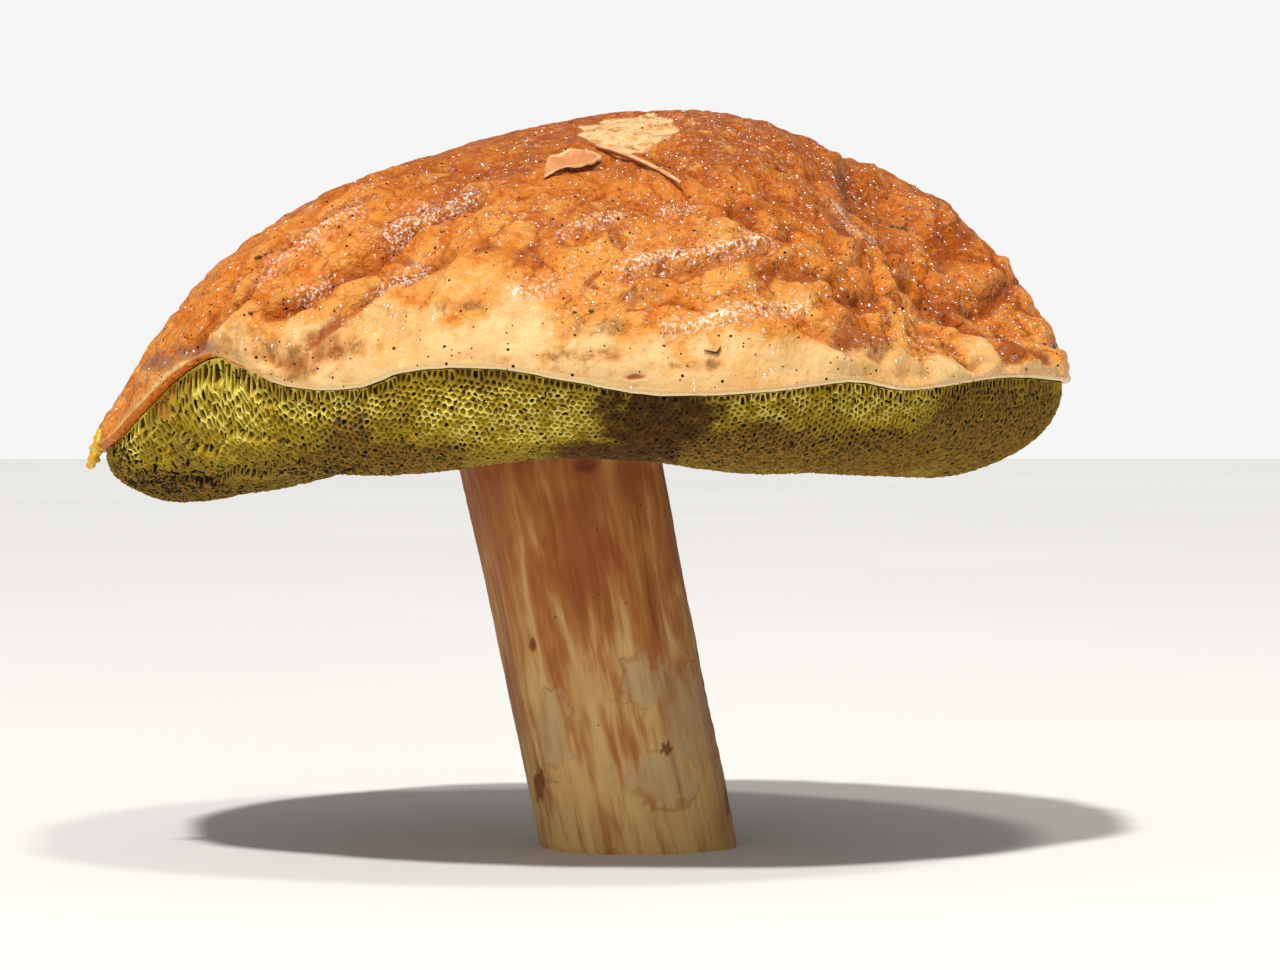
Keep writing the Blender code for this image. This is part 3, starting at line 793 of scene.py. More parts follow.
@dataclass(frozen=True)
class StreakedStem:
    """Stem: tan with cream fibres, browner under the cap, partly as painted shade, greyish where the skin has gone,
    with a cream cut.
    """

    tan: Colour = (0.48, 0.185, 0.043)
    brown: Colour = (0.33, 0.090, 0.017)
    cream: Colour = (0.76, 0.49, 0.185)
    grey: Colour = (0.54, 0.39, 0.215)
    # Colour of the painted shade down the stem's sides
    dark: Colour = (0.20, 0.060, 0.018)
    rust: Colour = (0.17, 0.035, 0.010)
    flesh: Colour = (0.82, 0.72, 0.50)
    dried: Colour = (0.72, 0.56, 0.32)
    speck: Colour = (0.03, 0.018, 0.01)
    speck_cell: float = 2.2

    def make(self) -> bpy.types.Material:
        """Lays streaks, from noise stretched along the stem's own grain, and then the stains and the cut.

        Returns:
            The material.
        """
        r = Recipe(
            "streaked_stem",
            Subsurface_Weight=0.10,
            Subsurface_Radius=(1.0, 0.6, 0.3),
            Subsurface_Scale=0.001,
            Specular_IOR_Level=0.2,
        )
        grain = r.arrow("grain")
        wide = r.noise(3.6 * MM, 4, 0.5, 0.6, r.stretch(grain, (1, 1, 0.20)))
        thin = r.noise(0.95 * MM, 3, 0.6, 0.3, r.stretch(grain, (1, 1, 0.07)))
        broad = r.noise(14 * MM, 2)
        streak = r.sway(wide, thin, 0.3, 0.7, -0.07, 0.07)
        streak = r.sway(streak, broad, 0.3, 0.7, -0.08, 0.08)
        # Browner towards the top under the cap: partly the stem's own colour, partly painted shade
        streak = r.sway(streak, r.mark("height"), 0.15, 0.95, 0.18, -0.18)
        colour = r.lay(self.brown, self.tan, streak, 0.22, 0.54)
        colour = r.lay(colour, self.cream, streak, 0.44, 0.76)
        colour = r.lay(colour, self.tan, broad, 0.45, 0.75, 0.3)
        bare = r.mark("bare")
        colour = r.lay(colour, self.grey, r.sway(bare, wide, 0.3, 0.7, -0.35, 0.25), 0.1, 1.0, 0.60)
        rim = r.math("MULTIPLY", r.ease(bare, 0.15, 0.35), r.ease(bare, 0.6, 0.4))
        rim = r.math("MULTIPLY", rim, r.ease(broad, 0.4, 0.6, 0.0, 0.4))
        colour = r.mix(rim, colour, self.brown)
        # Painted shade: darker down the stem's right side, and a little down its left
        shade = r.math("MULTIPLY", r.mark("shade"), r.ease(wide, 0.3, 0.7, 0.9, 0.5))
        colour = r.mix(shade, colour, self.dark)
        colour = r.mix(r.mark("stain"), colour, self.rust)
        meat = r.lay(self.flesh, self.dried, r.noise(2.5 * MM, 4), 0.35, 0.7)
        colour = r.mix(r.mark("cut"), colour, meat)
        specks = r.ease(r.cells(self.speck_cell * MM), 0.08, 0.06)
        specks = r.math("MULTIPLY", specks, r.ease(r.draw(self.speck_cell * MM), 0.2, 0.19))
        colour = r.mix(specks, colour, self.speck)
        normal = r.bump(thin, 0.35 * MM, 0.7)
        normal = r.bump(r.noise(0.5 * MM, 2), 0.1 * MM, 0.5, normal)
        return r.finish(colour, r.ease(wide, 0.3, 0.7, 0.48, 0.7), normal)


@dataclass(frozen=True)
class DryLitter:
    """Dead plant scraps: a dull colour that fades along the grain towards a paler edge."""

    name: str
    body: Colour
    edge: Colour
    grain: float

    def make(self) -> bpy.types.Material:
        """Mixes body and edge by the piece's own edge mark and a grain noise.

        Returns:
            The material.
        """
        r = Recipe(self.name, Specular_IOR_Level=0.35, Subsurface_Weight=0.05, Subsurface_Scale=0.0005)
        vein = r.noise(self.grain, 3, 0.6, 0.4, r.stretch(r.arrow("grain"), (0.25, 1, 1)))
        edge = r.sway(r.mark("edge"), vein, 0.3, 0.7, -0.35, 0.35)
        colour = r.lay(self.body, self.edge, edge, 0.2, 0.95)
        return r.finish(colour, r.ease(vein, 0.3, 0.7, 0.45, 0.7), r.bump(vein, 0.15 * MM, 0.6))


# The cap


class Flank(Enum):
    """Sides of the cap that wrinkle in their own way, by the azimuth of their middle."""

    LEFT = 205
    ROUGH = 325


@dataclass
class CapForm:
    """The cap's smooth dome and its large relief, by the same formulas as the part's source."""

    middle: tuple[float, float] = (-9.6, 0.0)
    half_width: float = 77.6
    half_depth: float = 75.0
    ripples: tuple[tuple[int, float, float], ...] = ((5, 0.9, 0.4), (8, 0.6, 2.1), (13, 0.35, 4.0))
    apex: tuple[float, float, float] = (8.3, 1.0, 118.0)
    rim_heights: Knots = (
        (0, 73.8), (20, 73.4), (45, 72.4), (80, 71.6), (115, 70.4), (145, 68.0), (168, 64.8), (184, 63.2),
        (196, 63.6), (206, 65.6), (213, 70.4), (219, 75.2), (225, 78.1), (230, 76.2), (236, 73.7), (245, 73.6),
        (251, 75.9), (261, 76.4), (270, 74.5), (279, 72.6), (291, 72.9), (303, 74.4), (311, 73.2), (320, 74.0),
        (331, 75.0), (345, 74.4),
    )
    breadth: Knots = ((0, 1.62), (60, 1.8), (120, 1.9), (180, 2.1), (240, 1.85), (300, 1.65))
    fall: Knots = ((0, 0.70), (60, 0.64), (120, 0.64), (180, 0.70), (240, 0.67), (300, 0.67))
    dell: Knots = (
        (0, -9.5), (4, -9.6), (9, -5.0), (14, 0.0), (22, 3.0), (32, 3.8), (45, 2.6), (70, 0.0), (180, 0.0),
        (290, 0.0), (312, -2.6), (326, -5.6), (338, -7.8), (348, -8.6), (354, -9.0),
    )
    dell_turn: float = 11.0
    # Azimuth, depth, half width in degrees, and the share of the way down where the fold begins
    fold_lines: tuple[tuple[float, float, float, float], ...] = (
        (192, 0.9, 4.5, 0.35), (205, 1.0, 4.0, 0.45), (222, 3.0, 4.5, 0.30), (233, 1.0, 3.0, 0.35),
        (241, 1.6, 3.0, 0.30), (251, 1.1, 3.0, 0.42), (297, 0.9, 4.0, 0.60), (315, 1.2, 4.0, 0.55),
        (331, 1.6, 4.0, 0.50), (343, 1.2, 3.0, 0.60), (28, 1.2, 4.0, 0.50), (66, 1.4, 5.0, 0.35),
        (104, 1.1, 4.5, 0.40), (137, 1.5, 5.0, 0.30), (163, 1.1, 4.5, 0.40),
    )
    fold_wander: float = 5.0
    lump_size: float = 13.0
    lump_height: float = 0.8
    rough_height: float = 1.5
    bite_place: tuple[float, float] = (-1.5, -21.0)
    bite_radii: tuple[float, float] = (8.4, 15.0)
    bite_depth: float = 0.7
    lip_rise: float = 1.7
    ceiling_shares: tuple[float, ...] = (0.86, 0.62, 0.34)
    ceiling_height: float = 80.0
    ceiling_rise: float = 3.5

    def rim_radius(self, azimuth: Array) -> Array:
        """Radius of the rim round the cap's middle: an ellipse with a few ripples.

        Args:
            azimuth: Degrees round the cap's middle.

        Returns:
            The radius at each of them.
        """
        turn = np.radians(azimuth)
        radius = 1 / np.hypot(np.cos(turn) / self.half_width, np.sin(turn) / self.half_depth)
        for waves, height, phase in self.ripples:
            radius = radius + height * np.cos(waves * turn + phase)
        return radius * MM

    def rim_height(self, azimuth: Array) -> Array:
        """Height of the lip's lower edge."""
        return closed_curve(azimuth, self.rim_heights) * MM

    def from_rim(self, azimuth: Array, inset: Array, rise: Array) -> Array:
        """Points inset towards the cap's middle from the rim, and raised by rise."""
        plan = np.array(self.middle) * MM + bearing(azimuth) * (self.rim_radius(azimuth) - inset)[:, None]
        return np.column_stack([plan, self.rim_height(azimuth) + rise])

    def dome(self, azimuth: Array, way: Array) -> tuple[Array, Array]:
        """Points on the smooth top.

        In plan they lie on straight lines from the apex to the rim, and their height falls along a superellipse.

        Args:
            azimuth: Degrees round the cap's middle.
            way: From 0 at the apex to 1 at the rim.

        Returns:
            The points, and how far out each is, as a share of its line in plan.
        """
        swing = way * math.pi / 2
        out = np.sin(swing) ** (2 / closed_curve(azimuth, self.breadth))
        left = np.cos(swing) ** (2 * closed_curve(azimuth, self.fall))
        apex = np.array(self.apex) * MM
        rim = self.from_rim(azimuth, 0 * azimuth, self.lip_rise * MM / 2)
        plan = apex[:2] + (rim[:, :2] - apex[:2]) * out[:, None]
        height = rim[:, 2] + (apex[2] - rim[:, 2]) * left
        return np.column_stack([plan, height]), out

    def folds(self, points: Array, azimuth: Array, way: Array) -> Array:
        """How deep the folds cut in: each is a V with rounded sides that wanders to and fro on its way down.

        Args:
            points: Points on the dome.
            azimuth: Their azimuths.
            way: Their ways from the apex.

        Returns:
            The depth at each.
        """
        stray = self.fold_wander * cloud(points, 24 * MM, Draw.FOLD_WANDER)
        depth = np.zeros(len(points))
        for place, deep, half_width, begin in self.fold_lines:
            across = np.abs(degrees_apart(azimuth + stray * ease(1.0, 0.6, way), place)) / half_width
            depth = np.maximum(depth, deep * MM * (1 - ease(0, 1, across) ** 0.6) * ease(begin, begin + 0.2, way))
        return depth

    def bite(self, points: Array) -> Array:
        """Distance from the middle of the eaten patch, in its radii."""
        place, radii = np.array(self.bite_place) * MM, np.array(self.bite_radii) * MM
        return np.linalg.norm((points[:, :2] - place) / radii, axis=1)

    def large_relief(self, points: Array, azimuth: Array, way: Array, out: Array) -> dict[str, Array]:
        """The parts of the relief that the source has too, in metres outwards from the dome.

        Args:
            points: Points on the dome.
            azimuth: Their azimuths.
            way: Their ways from the apex.
            out: How far out they are in plan.

        Returns:
            dell, swell, lumps, folds and bite, each to be added.
        """
        turned = azimuth + self.dell_turn * ease(0.55, 0.95, out)
        dell = closed_curve(turned, self.dell) * MM * ease(0.34, 0.58, out) * (1 - 0.85 * ease(0.90, 1.0, out))
        warp = points + 3 * MM * cloud(points, 21 * MM, Draw.LUMP_WARP)[:, None]
        lumps = 1 - 2 * np.abs(cloud(warp, self.lump_size * MM, Draw.LUMPS))
        near_rough = np.exp(-((degrees_apart(azimuth, Flank.ROUGH.value) / 38) ** 2))
        height = (self.lump_height + (self.rough_height - self.lump_height) * near_rough) * MM
        quiet = 1 - 0.8 * ease(0.80, 0.97, way) * (1 - ease(0.5, 0.9, near_rough))
        return {
            "dell": dell,
            "swell": 1.1 * MM * cloud(points, 38 * MM, Draw.SWELL),
            "lumps": lumps * height * quiet * ease(0.1, 0.3, way),
            "folds": -self.folds(points, azimuth, way),
            "bite": -self.bite_depth * MM * (1 - ease(0.85, 1.1, self.bite(points))),
        }

    def outwards(self, points: Array) -> Array:
        """Unit vectors away from a point low in the cap, along which the relief is raised."""
        away = points - np.array([*self.middle, 35.0]) * MM
        return away / np.linalg.norm(away, axis=1, keepdims=True)

    def ceiling(self, azimuth: Array, share: Array) -> Array:
        """Points on the underside, at a share of the rim's radius: it climbs from the lip to a flat middle.

        Args:
            azimuth: Degrees round the cap's middle.
            share: The share of the rim's radius.

        Returns:
            The points.
        """
        plan = np.array(self.middle) * MM + bearing(azimuth) * (self.rim_radius(azimuth) * share)[:, None]
        edge = self.rim_height(azimuth) + (self.lip_rise + self.ceiling_rise * (1 - share)) * MM
        inwards = ease(1.0, self.ceiling_shares[-1], share)
        return np.column_stack([plan, edge + (self.ceiling_height * MM - edge) * inwards])


@dataclass
class Cap:
    """The cap: the form, finer relief on it, and its skin."""

    form: CapForm
    rings: int = 164
    lump_size: float = 6.5
    lump_height: float = 0.85
    small_lump_size: float = 2.9
    small_lump_height: float = 0.34
    pleat_width: float = 6.0
    pleat_height: float = 0.75
    furrow_depth: float = 1.25
    ridge_height: float = 0.55
    grit_height: float = 0.14
    # Height of the cream margin as a share of the dome's, by azimuth
    cream_heights: Knots = (
        (0, 0.05), (40, 0.12), (90, 0.17), (140, 0.10), (180, 0.02), (205, 0.02), (220, 0.04), (238, 0.20),
        (256, 0.25), (275, 0.21), (295, 0.20), (312, 0.12), (330, 0.11), (345, 0.07),
    )
    lip_paleness: Knots = ((0, 0.8), (60, 0.5), (120, 0.5), (175, 0.1), (226, 0.0), (236, 1.0), (345, 1.0))
    ridges: tuple[Line, ...] = (
        Line(((-2.0, 90.7), (8.0, 92.6), (19.5, 95.2)), 1.0),
        Line(((4.3, 81.7), (14.0, 84.0), (24.3, 86.2)), 1.2),
        Line(((-11.7, 96.3), (-2.9, 98.2)), 0.8, 0.7),
        Line(((2.7, 98.7), (8.3, 100.3)), 0.7, 0.6),
        Line(((-55.0, 89.0), (-49.0, 94.6), (-41.6, 99.4)), 1.1),
        Line(((-36.8, 95.2), (-31.0, 99.2), (-25.1, 102.1)), 1.1),
        Line(((-38.4, 87.0), (-32.0, 91.0)), 1.0, 0.8),
        Line(((-16.8, 87.0), (-12.5, 88.2)), 1.5, 0.8),
        Line(((-50.0, 86.7), (-46.2, 88.2)), 0.9, 0.8),
        Line(((30.5, 104.5), (38.0, 99.0)), 1.2, 0.6),
    )
    furrows: tuple[Line, ...] = (
        Line(((-62.0, 82.2), (-54.2, 91.0), (-48.8, 96.2), (-40.0, 101.1)), 0.8, 0.9),
        Line(((-54.6, 83.8), (-45.6, 87.8), (-40.0, 91.7), (-32.0, 97.1), (-24.8, 100.6)), 1.1, 1.0),
        Line(((-48.2, 79.7), (-43.0, 84.2), (-39.0, 87.2), (-33.6, 89.8), (-27.4, 93.0)), 1.1, 0.9),
        Line(((-54.0, 77.6), (-49.5, 76.4), (-44.0, 79.0)), 1.6, 0.7),
        Line(((-4.0, 89.3), (2.0, 89.2), (9.0, 91.0), (19.0, 93.2)), 0.8, 0.7),
        Line(((-8.0, 83.4), (-1.0, 85.6), (3.0, 87.4)), 1.1, 0.5),
        Line(((18.0, 91.0), (26.0, 91.4), (34.0, 88.4), (39.0, 89.6)), 1.3, 0.9),
        Line(((35.4, 108.3), (41.9, 103.0), (45.9, 98.4), (50.2, 93.3), (54.6, 90.4), (59.8, 89.0)), 1.5, 1.2),
        Line(((36.0, 103.0), (39.7, 98.4), (42.6, 93.6), (46.6, 93.0)), 1.3, 0.9),
        Line(((50.2, 92.3), (54.6, 88.2), (58.2, 84.3), (61.1, 80.3), (63.0, 77.6)), 1.2, 1.2),
        Line(((40.0, 90.5), (44.2, 87.5), (48.2, 83.5), (49.6, 80.3)), 1.0, 0.8),
        Line(((28.0, 86.0), (33.0, 83.4), (40.0, 83.0), (45.0, 80.0)), 1.2, 0.6),
        Line(((14.8, 101.5), (14.6, 99.0), (18.0, 97.0)), 1.1, 0.8),
        Line(((21.0, 104.0), (27.5, 100.5), (31.0, 95.5)), 1.2, 0.6),
        Line(((44.0, 84.5), (48.5, 81.0), (51.0, 77.0)), 1.0, 0.9),
        Line(((25.0, 83.0), (30.0, 79.5), (36.0, 78.0)), 0.9, 0.6),
    )
    swell_width: float = 17.0
    swell_height: float = 0.9
    rust_depth: float = 0.5
    rust_spots: tuple[Spot, ...] = (
        Spot((15.5, -50, 98.7), (2.6, 20, 2.6)),
        Spot((25.9, -60, 90.7), (5.0, 25, 1.4)),
        Spot((34, -50, 88.0), (6.5, 25, 1.5)),
        Spot((33.0, -66, 81.2), (5.5, 20, 3.0)),
        Spot((57.9, -40, 80.3), (3.0, 30, 3.2)),
        Spot((48.3, -35, 89.9), (2.8, 30, 2.6)),
        Spot((61.9, -30, 85.1), (1.8, 30, 1.8)),
        Spot((51.5, 0, 96.5), (2.4, 20, 3.0)),
        Spot((-0.8, -74, 75.0), (1.4, 10, 0.35)),
    )
    tan_spots: tuple[Spot, ...] = (
        Spot((-50.0, -50, 79.0), (8.5, 20, 3.2)),
        Spot((-54.7, -50, 75.2), (3.0, 20, 1.5)),
        Spot((-48.0, -50, 76.2), (6.0, 20, 1.9)),
        Spot((-40.0, -55, 79.6), (3.5, 20, 1.6)),
        Spot((-56.0, -46, 78.5), (1.2, 20, 1.8)),
        Spot((-26.5, -66, 85.0), (4.0, 20, 1.2)),
        Spot((0.3, -66, 86.7), (3.6, 20, 1.3)),
        Spot((-6.0, -70, 82.0), (4.0, 20, 1.6)),
        Spot((-9.0, -66, 78.0), (9.0, 20, 1.2)),
        Spot((8.0, -74, 76.6), (5.0, 20, 0.9)),
    )
    pale_spots: tuple[Spot, ...] = (
        Spot((-6.4, -64, 93.0), (4.6, 20, 1.7)),
        Spot((10.7, -66, 88.2), (3.2, 20, 2.2)),
        Spot((15.5, -62, 89.9), (2.2, 20, 1.9)),
        Spot((-45.0, -55, 84.0), (4.5, 20, 2.4)),
        Spot((-30.0, -60, 88.5), (5.0, 20, 1.8)),
        Spot((44.5, -50, 84.6), (2.6, 20, 1.6)),
        Spot((-58.0, -46, 86.0), (1.6, 20, 5.0)),
    )
    wet_spots: tuple[Spot, ...] = (Spot((-72, -36, 77.0), (4, 16, 1.6)), Spot((-65, -42, 79.2), (4.5, 16, 1.9)))
    # Places where the top sinks below the dome, or stands above it, and how far
    sunk_spots: tuple[tuple[Spot, float], ...] = (
        (Spot((-22, 0, 112), (22, 70, 22)), 1.8),
        (Spot((31, 0, 110), (14, 70, 18)), 1.6),
        (Spot((-81, 0, 75), (8, 50, 10)), 2.8),
        (Spot((47, 0, 103), (7, 60, 9)), -1.6),
        (Spot((63, 0, 89), (4, 50, 5)), 2.2),
        (Spot((-73, 0, 86), (6, 50, 7)), 1.0),
    )
    # How far from their middle over_plan takes points
    plan_reach: float = 15.0
    points: Array = field(default_factory=lambda: np.zeros((0, 3)))

    def surface(self, azimuth: Array, way: Array) -> tuple[Array, dict[str, Array]]:
        """Points on the wrinkled top: the dome, raised outwards by the source's relief and by finer relief.

        The finer relief is the sum of round lumps in two sizes with creases between them, pleats that run down the
        flanks, drawn furrows with a swollen bank on each side, drawn ridges, soft folds in the cream margin, rusty
        pits, the places that sink or stand out as a whole, and fine grit.

        Args:
            azimuth: Degrees round the cap's middle.
            way: From 0 at the apex to 1 at the rim.

        Returns:
            The points, and the marks that the skin's colours follow.
        """
        points, out = self.form.dome(azimuth, way)
        large = self.form.large_relief(points, azimuth, way, out)
        rim = self.form.rim_height(azimuth)
        rise = (points[:, 2] - rim) / (self.form.apex[2] * MM - rim)
        bent = points + 2.2 * MM * drift(points, 8 * MM, Draw.CAP_BEND)
        lump = 2 * np.abs(cloud(bent, self.lump_size * MM, Draw.CAP_LUMPS)) ** 0.8
        small_lump = 2 * np.abs(cloud(bent, self.small_lump_size * MM, Draw.SMALL_LUMPS)) ** 0.8
        # Round a cylinder, so that the pleats run down the cap and not round it
        flow = np.column_stack([48 * MM * bearing(azimuth), way * 90 * MM])
        run = flow * [1, 1, 0.20] + 1.6 * MM * drift(points, 12 * MM, Draw.PLEAT_BEND)
        pleat = 1 - 2 * np.abs(cloud(run, self.pleat_width * MM, Draw.PLEATS))
        fine_pleat = 1 - 2 * np.abs(cloud(run, 0.42 * self.pleat_width * MM, Draw.FINE_PLEATS))
        on_left = np.exp(-((degrees_apart(azimuth, Flank.LEFT.value) / 50) ** 2))
        on_rough = np.exp(-((degrees_apart(azimuth, Flank.ROUGH.value) / 30) ** 2))
        margin = np.maximum(closed_curve(azimuth, self.cream_heights), 0.02)
        margin = margin * (1 + (0.55 + 0.75 * on_rough) * cloud(points, 8 * MM, Draw.MARGIN_EDGE))
        in_cream = 1 - ease(0.35, 1.6, rise / margin)
        calm = (1 - 0.75 * in_cream) * (1 - 0.35 * ease(0.72, 0.95, rise)) * (1 - 0.45 * on_left)
        stray = [cloud(points, 5 * MM, Draw.STRAY_ACROSS), cloud(points, 5 * MM, Draw.STRAY_UP)]
        stray = 0.6 * np.column_stack(stray)
        stray = stray + 0.25 * cloud(points, 1.6 * MM, Draw.STRAY_SHAKE)[:, None]
        furrow = np.zeros(len(points))
        bank = np.zeros(len(points))
        for line in self.furrows:
            distance = line.distance(points, stray)
            furrow = np.maximum(furrow, line.strength * np.exp(-(distance**2)))
            bank = np.maximum(bank, line.strength * np.exp(-(((distance - 2.4) / 1.6) ** 2)))
        ridge = [line.strength * np.exp(-(line.distance(points, stray) ** 2)) for line in self.ridges]
        ridge = np.max(ridge, axis=0)
        bare = 1 - ease(0.86, 1.0, self.form.bite(points) + 0.10 * cloud(points, 2.5 * MM, Draw.BITE_EDGE))
        grit = 1 - 2 * np.abs(cloud(points, 1.6 * MM, Draw.GRIT))
        along_rim = np.column_stack([56 * MM * bearing(azimuth), way * 12 * MM])
        swell = cloud(along_rim, self.swell_width * MM, Draw.MARGIN_SWELL)
        rust = any_spot(points, self.rust_spots, 0.30, 0.65)
        sunk = sum(depth * spot.bell(points) for spot, depth in self.sunk_spots)
        pleat_share = (0.26 + 0.74 * np.maximum(on_left, 0.35 * on_rough)) * ease(0.30, 0.65, way)
        relief = sum(large.values()) + MM * (
            self.lump_height * (lump - 0.5) * calm
            + self.small_lump_height * (small_lump - 0.5) * calm
            + self.pleat_height * (0.65 * pleat + 0.35 * fine_pleat) * pleat_share
            - self.furrow_depth * furrow * (1 + 0.4 * on_left)
            + 0.45 * self.furrow_depth * bank * (1 + 0.4 * on_left)
            + self.ridge_height * ridge * (1 + 0.5 * on_left)
            + self.swell_height * swell * in_cream
            - self.rust_depth * rust
            - sunk
            + self.grit_height * grit * (1 - 0.6 * in_cream) * (1 - bare)
        )
        relief = relief * (1 - 0.9 * ease(0.93, 1.0, way))
        # Painted shade: how dark the creases, folds and low places between lumps are made
        fold_shade = ease(0.5 * MM, 2.6 * MM, -large["folds"])
        low_lump = ease(0.1, -0.8, large["lumps"] / (self.form.rough_height * MM))
        crease = ease(0.40, 0.05, lump) * calm * 0.8 + ease(-0.1, -0.7, pleat) * pleat_share * 0.5
        hollow = np.clip(crease + 0.55 * fold_shade + 0.6 * low_lump, 0, 1) * (1 - 0.6 * in_cream)
        marks = {
            "rise": rise,
            "lump": ease(0.2, 0.9, lump) * 0.6 + 0.4 * ease(-0.2, 0.6, pleat) * pleat_share,
            "cream": in_cream,
            "warm": 1 - ease(0.9, 2.9, rise / np.maximum(margin, 0.19 * on_rough)),
            "pale": any_spot(points, self.pale_spots, 0.35, 0.5),
            "hollow": np.maximum(np.maximum(hollow, 0.9 * rust), 0.8 * furrow) * (1 - bare),
            "tan": any_spot(points, self.tan_spots, 0.30, 0.7),
            "grime": np.maximum(furrow * on_left, rust * 0.5),
            "bare": bare,
            "wet": any_spot(points, self.wet_spots, 0.3, 0.3) * 0.75,
            # Where the painted highlight and a glossy film lie: the ridges
            "sheen": ridge,
            "beads": 0.72 * (1 - 0.55 * on_left) * (1 - 0.85 * in_cream) + 0.5 * ridge,
            "flow": flow,
            "edge": 0.1 * ease(0.993, 1.0, way) * self.lip_edge(azimuth),
        }
        return points + self.form.outwards(points) * relief[:, None], marks

    def lip_edge(self, azimuth: Array) -> Array:
        """How pale the lip's edge is: fully at the front, and not at all round the torn place on the left."""
        return closed_curve(azimuth, self.lip_paleness)

    def build(self) -> bpy.types.Object:
        """Makes the top from a web of triangles, then the lip and the underside as rings, and a fan in the middle.

        Returns:
            The piece cap_skin.
        """
        azimuth, way, triangles = web(self.rings)
        points, marks = self.surface(azimuth, way)
        self.points = points
        sides = 6 * self.rings
        turn = azimuth[-sides:]
        # The lip's own rings, as inset and rise, round its edge and into the source's underside
        lip = ((0.0, 0.45), (0.25, 0.12), (0.7, 0.0), (1.2, 0.02), (1.7, 0.1), (2.0, 0.6), (2.1, 1.7))
        ruffle = 0.10 * MM * cloud(self.form.from_rim(turn, 0 * turn, 0 * turn), 2.2 * MM, Draw.LIP_RUFFLE)
        rings = [self.form.from_rim(turn, np.full(sides, inset * MM), rise * MM + ruffle) for inset, rise in lip]
        rings += [self.form.ceiling(turn, np.full(sides, share)) for share in self.form.ceiling_shares]
        start = len(points)
        number = np.arange(sides)
        chain = [start - sides + number] + [start + k * sides + number for k in range(len(rings))]
        middle = rings[-1].mean(axis=0)
        quads = np.concatenate([band_faces(last, ring)[:, ::-1] for last, ring in zip(chain, chain[1:])])
        fan = np.column_stack([chain[-1], np.roll(chain[-1], -1), np.full(sides, start + len(rings) * sides)])
        points = np.vstack([points, *rings, middle])
        fade = np.repeat([0.1, 0.8, 1.0, 0.8] + [0.2] * (len(rings) - 4), sides)
        pale = np.append(np.tile(self.lip_edge(turn), len(rings)), 0.2)
        edge = pale * np.append(fade, 1)
        flow = np.vstack([marks.pop("flow"), np.zeros((len(edge), 3))])
        marks = {key: np.append(values, 0 * edge) for key, values in marks.items()}
        marks["flow"] = flow
        marks["cream"][start:] = pale
        marks["edge"][start:] = edge
        thing = new_piece("cap_skin", points, [triangles, quads, fan[:, ::-1]], marks)
        thing.data.materials.append(TackySkin().make())
        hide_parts("cap")
        return facing_out(thing)

    def over_plan(self, plan: Array) -> Array:
        """Points on the built top over points in plan, each as high as the mean of the three nearest.

        Args:
            plan: Points in plan, all near each other.

        Returns:
            The points.
        """
        from_middle = np.linalg.norm(self.points[:, :2] - plan.mean(axis=0), axis=1)
        near = self.points[from_middle < self.plan_reach * MM]
        distance = np.linalg.norm(near[None, :, :2] - plan[:, None], axis=2)
        nearest = np.argpartition(distance, 3, axis=1)[:, :3]
        return np.column_stack([plan, near[nearest, 2].mean(axis=1)])

    def seen_at(self, x: float, z: float) -> Array:
        """The point of the built top's front that is seen at a place, square from the front.

        Args:
            x: Millimetres to the right of the origin.
            z: Millimetres above the cut.

        Returns:
            The point.
        """
        front = self.points[self.points[:, 1] < -5 * MM]
        distance = np.hypot(front[:, 0] - x * MM, front[:, 2] - z * MM)
        return front[np.argmin(distance)]


# The tube layer


@dataclass
class StemForm:
    """The stem's side, by the same formulas as the part's source."""

    radius: float = 15.5
    flare: float = 0.5
    lean: float = -12.2
    lean_height: float = 61.0
    ribs: tuple[tuple[int, float, float], ...] = ((3, 0.45, 0.8), (7, 0.22, 2.0), (12, 0.14, 5.0))
    twist: float = 14.0

    def middle(self, height: Array) -> Array:
        """Middle of the stem at each height: it leans to the left as far as the tubes, then goes straight up."""
        share = np.minimum(height / (self.lean_height * MM), 1)
        return np.column_stack([self.lean * MM * share, 0 * height])

    def skin(self, azimuth: Array, height: Array, clear: Array | float = 0.0) -> Array:
        """Points on the side, ribbed along its length and flared where it meets the tubes.

        Args:
            azimuth: Degrees round the stem.
            height: Metres above the cut.
            clear: How far outside the skin.

        Returns:
            Rows of x, y, z.
        """
        turn = np.radians(azimuth)
        radius = (self.radius + self.flare * ease(0.6, 1.0, height / (self.lean_height * MM))) * MM + clear
        for ribs, depth, phase in self.ribs:
            radius = radius + depth * MM * np.cos(ribs * (turn + self.twist * height / ribs) + phase)
        plan = self.middle(height) + bearing(azimuth) * np.asarray(radius)[:, None]
        return np.column_stack([plan, height])


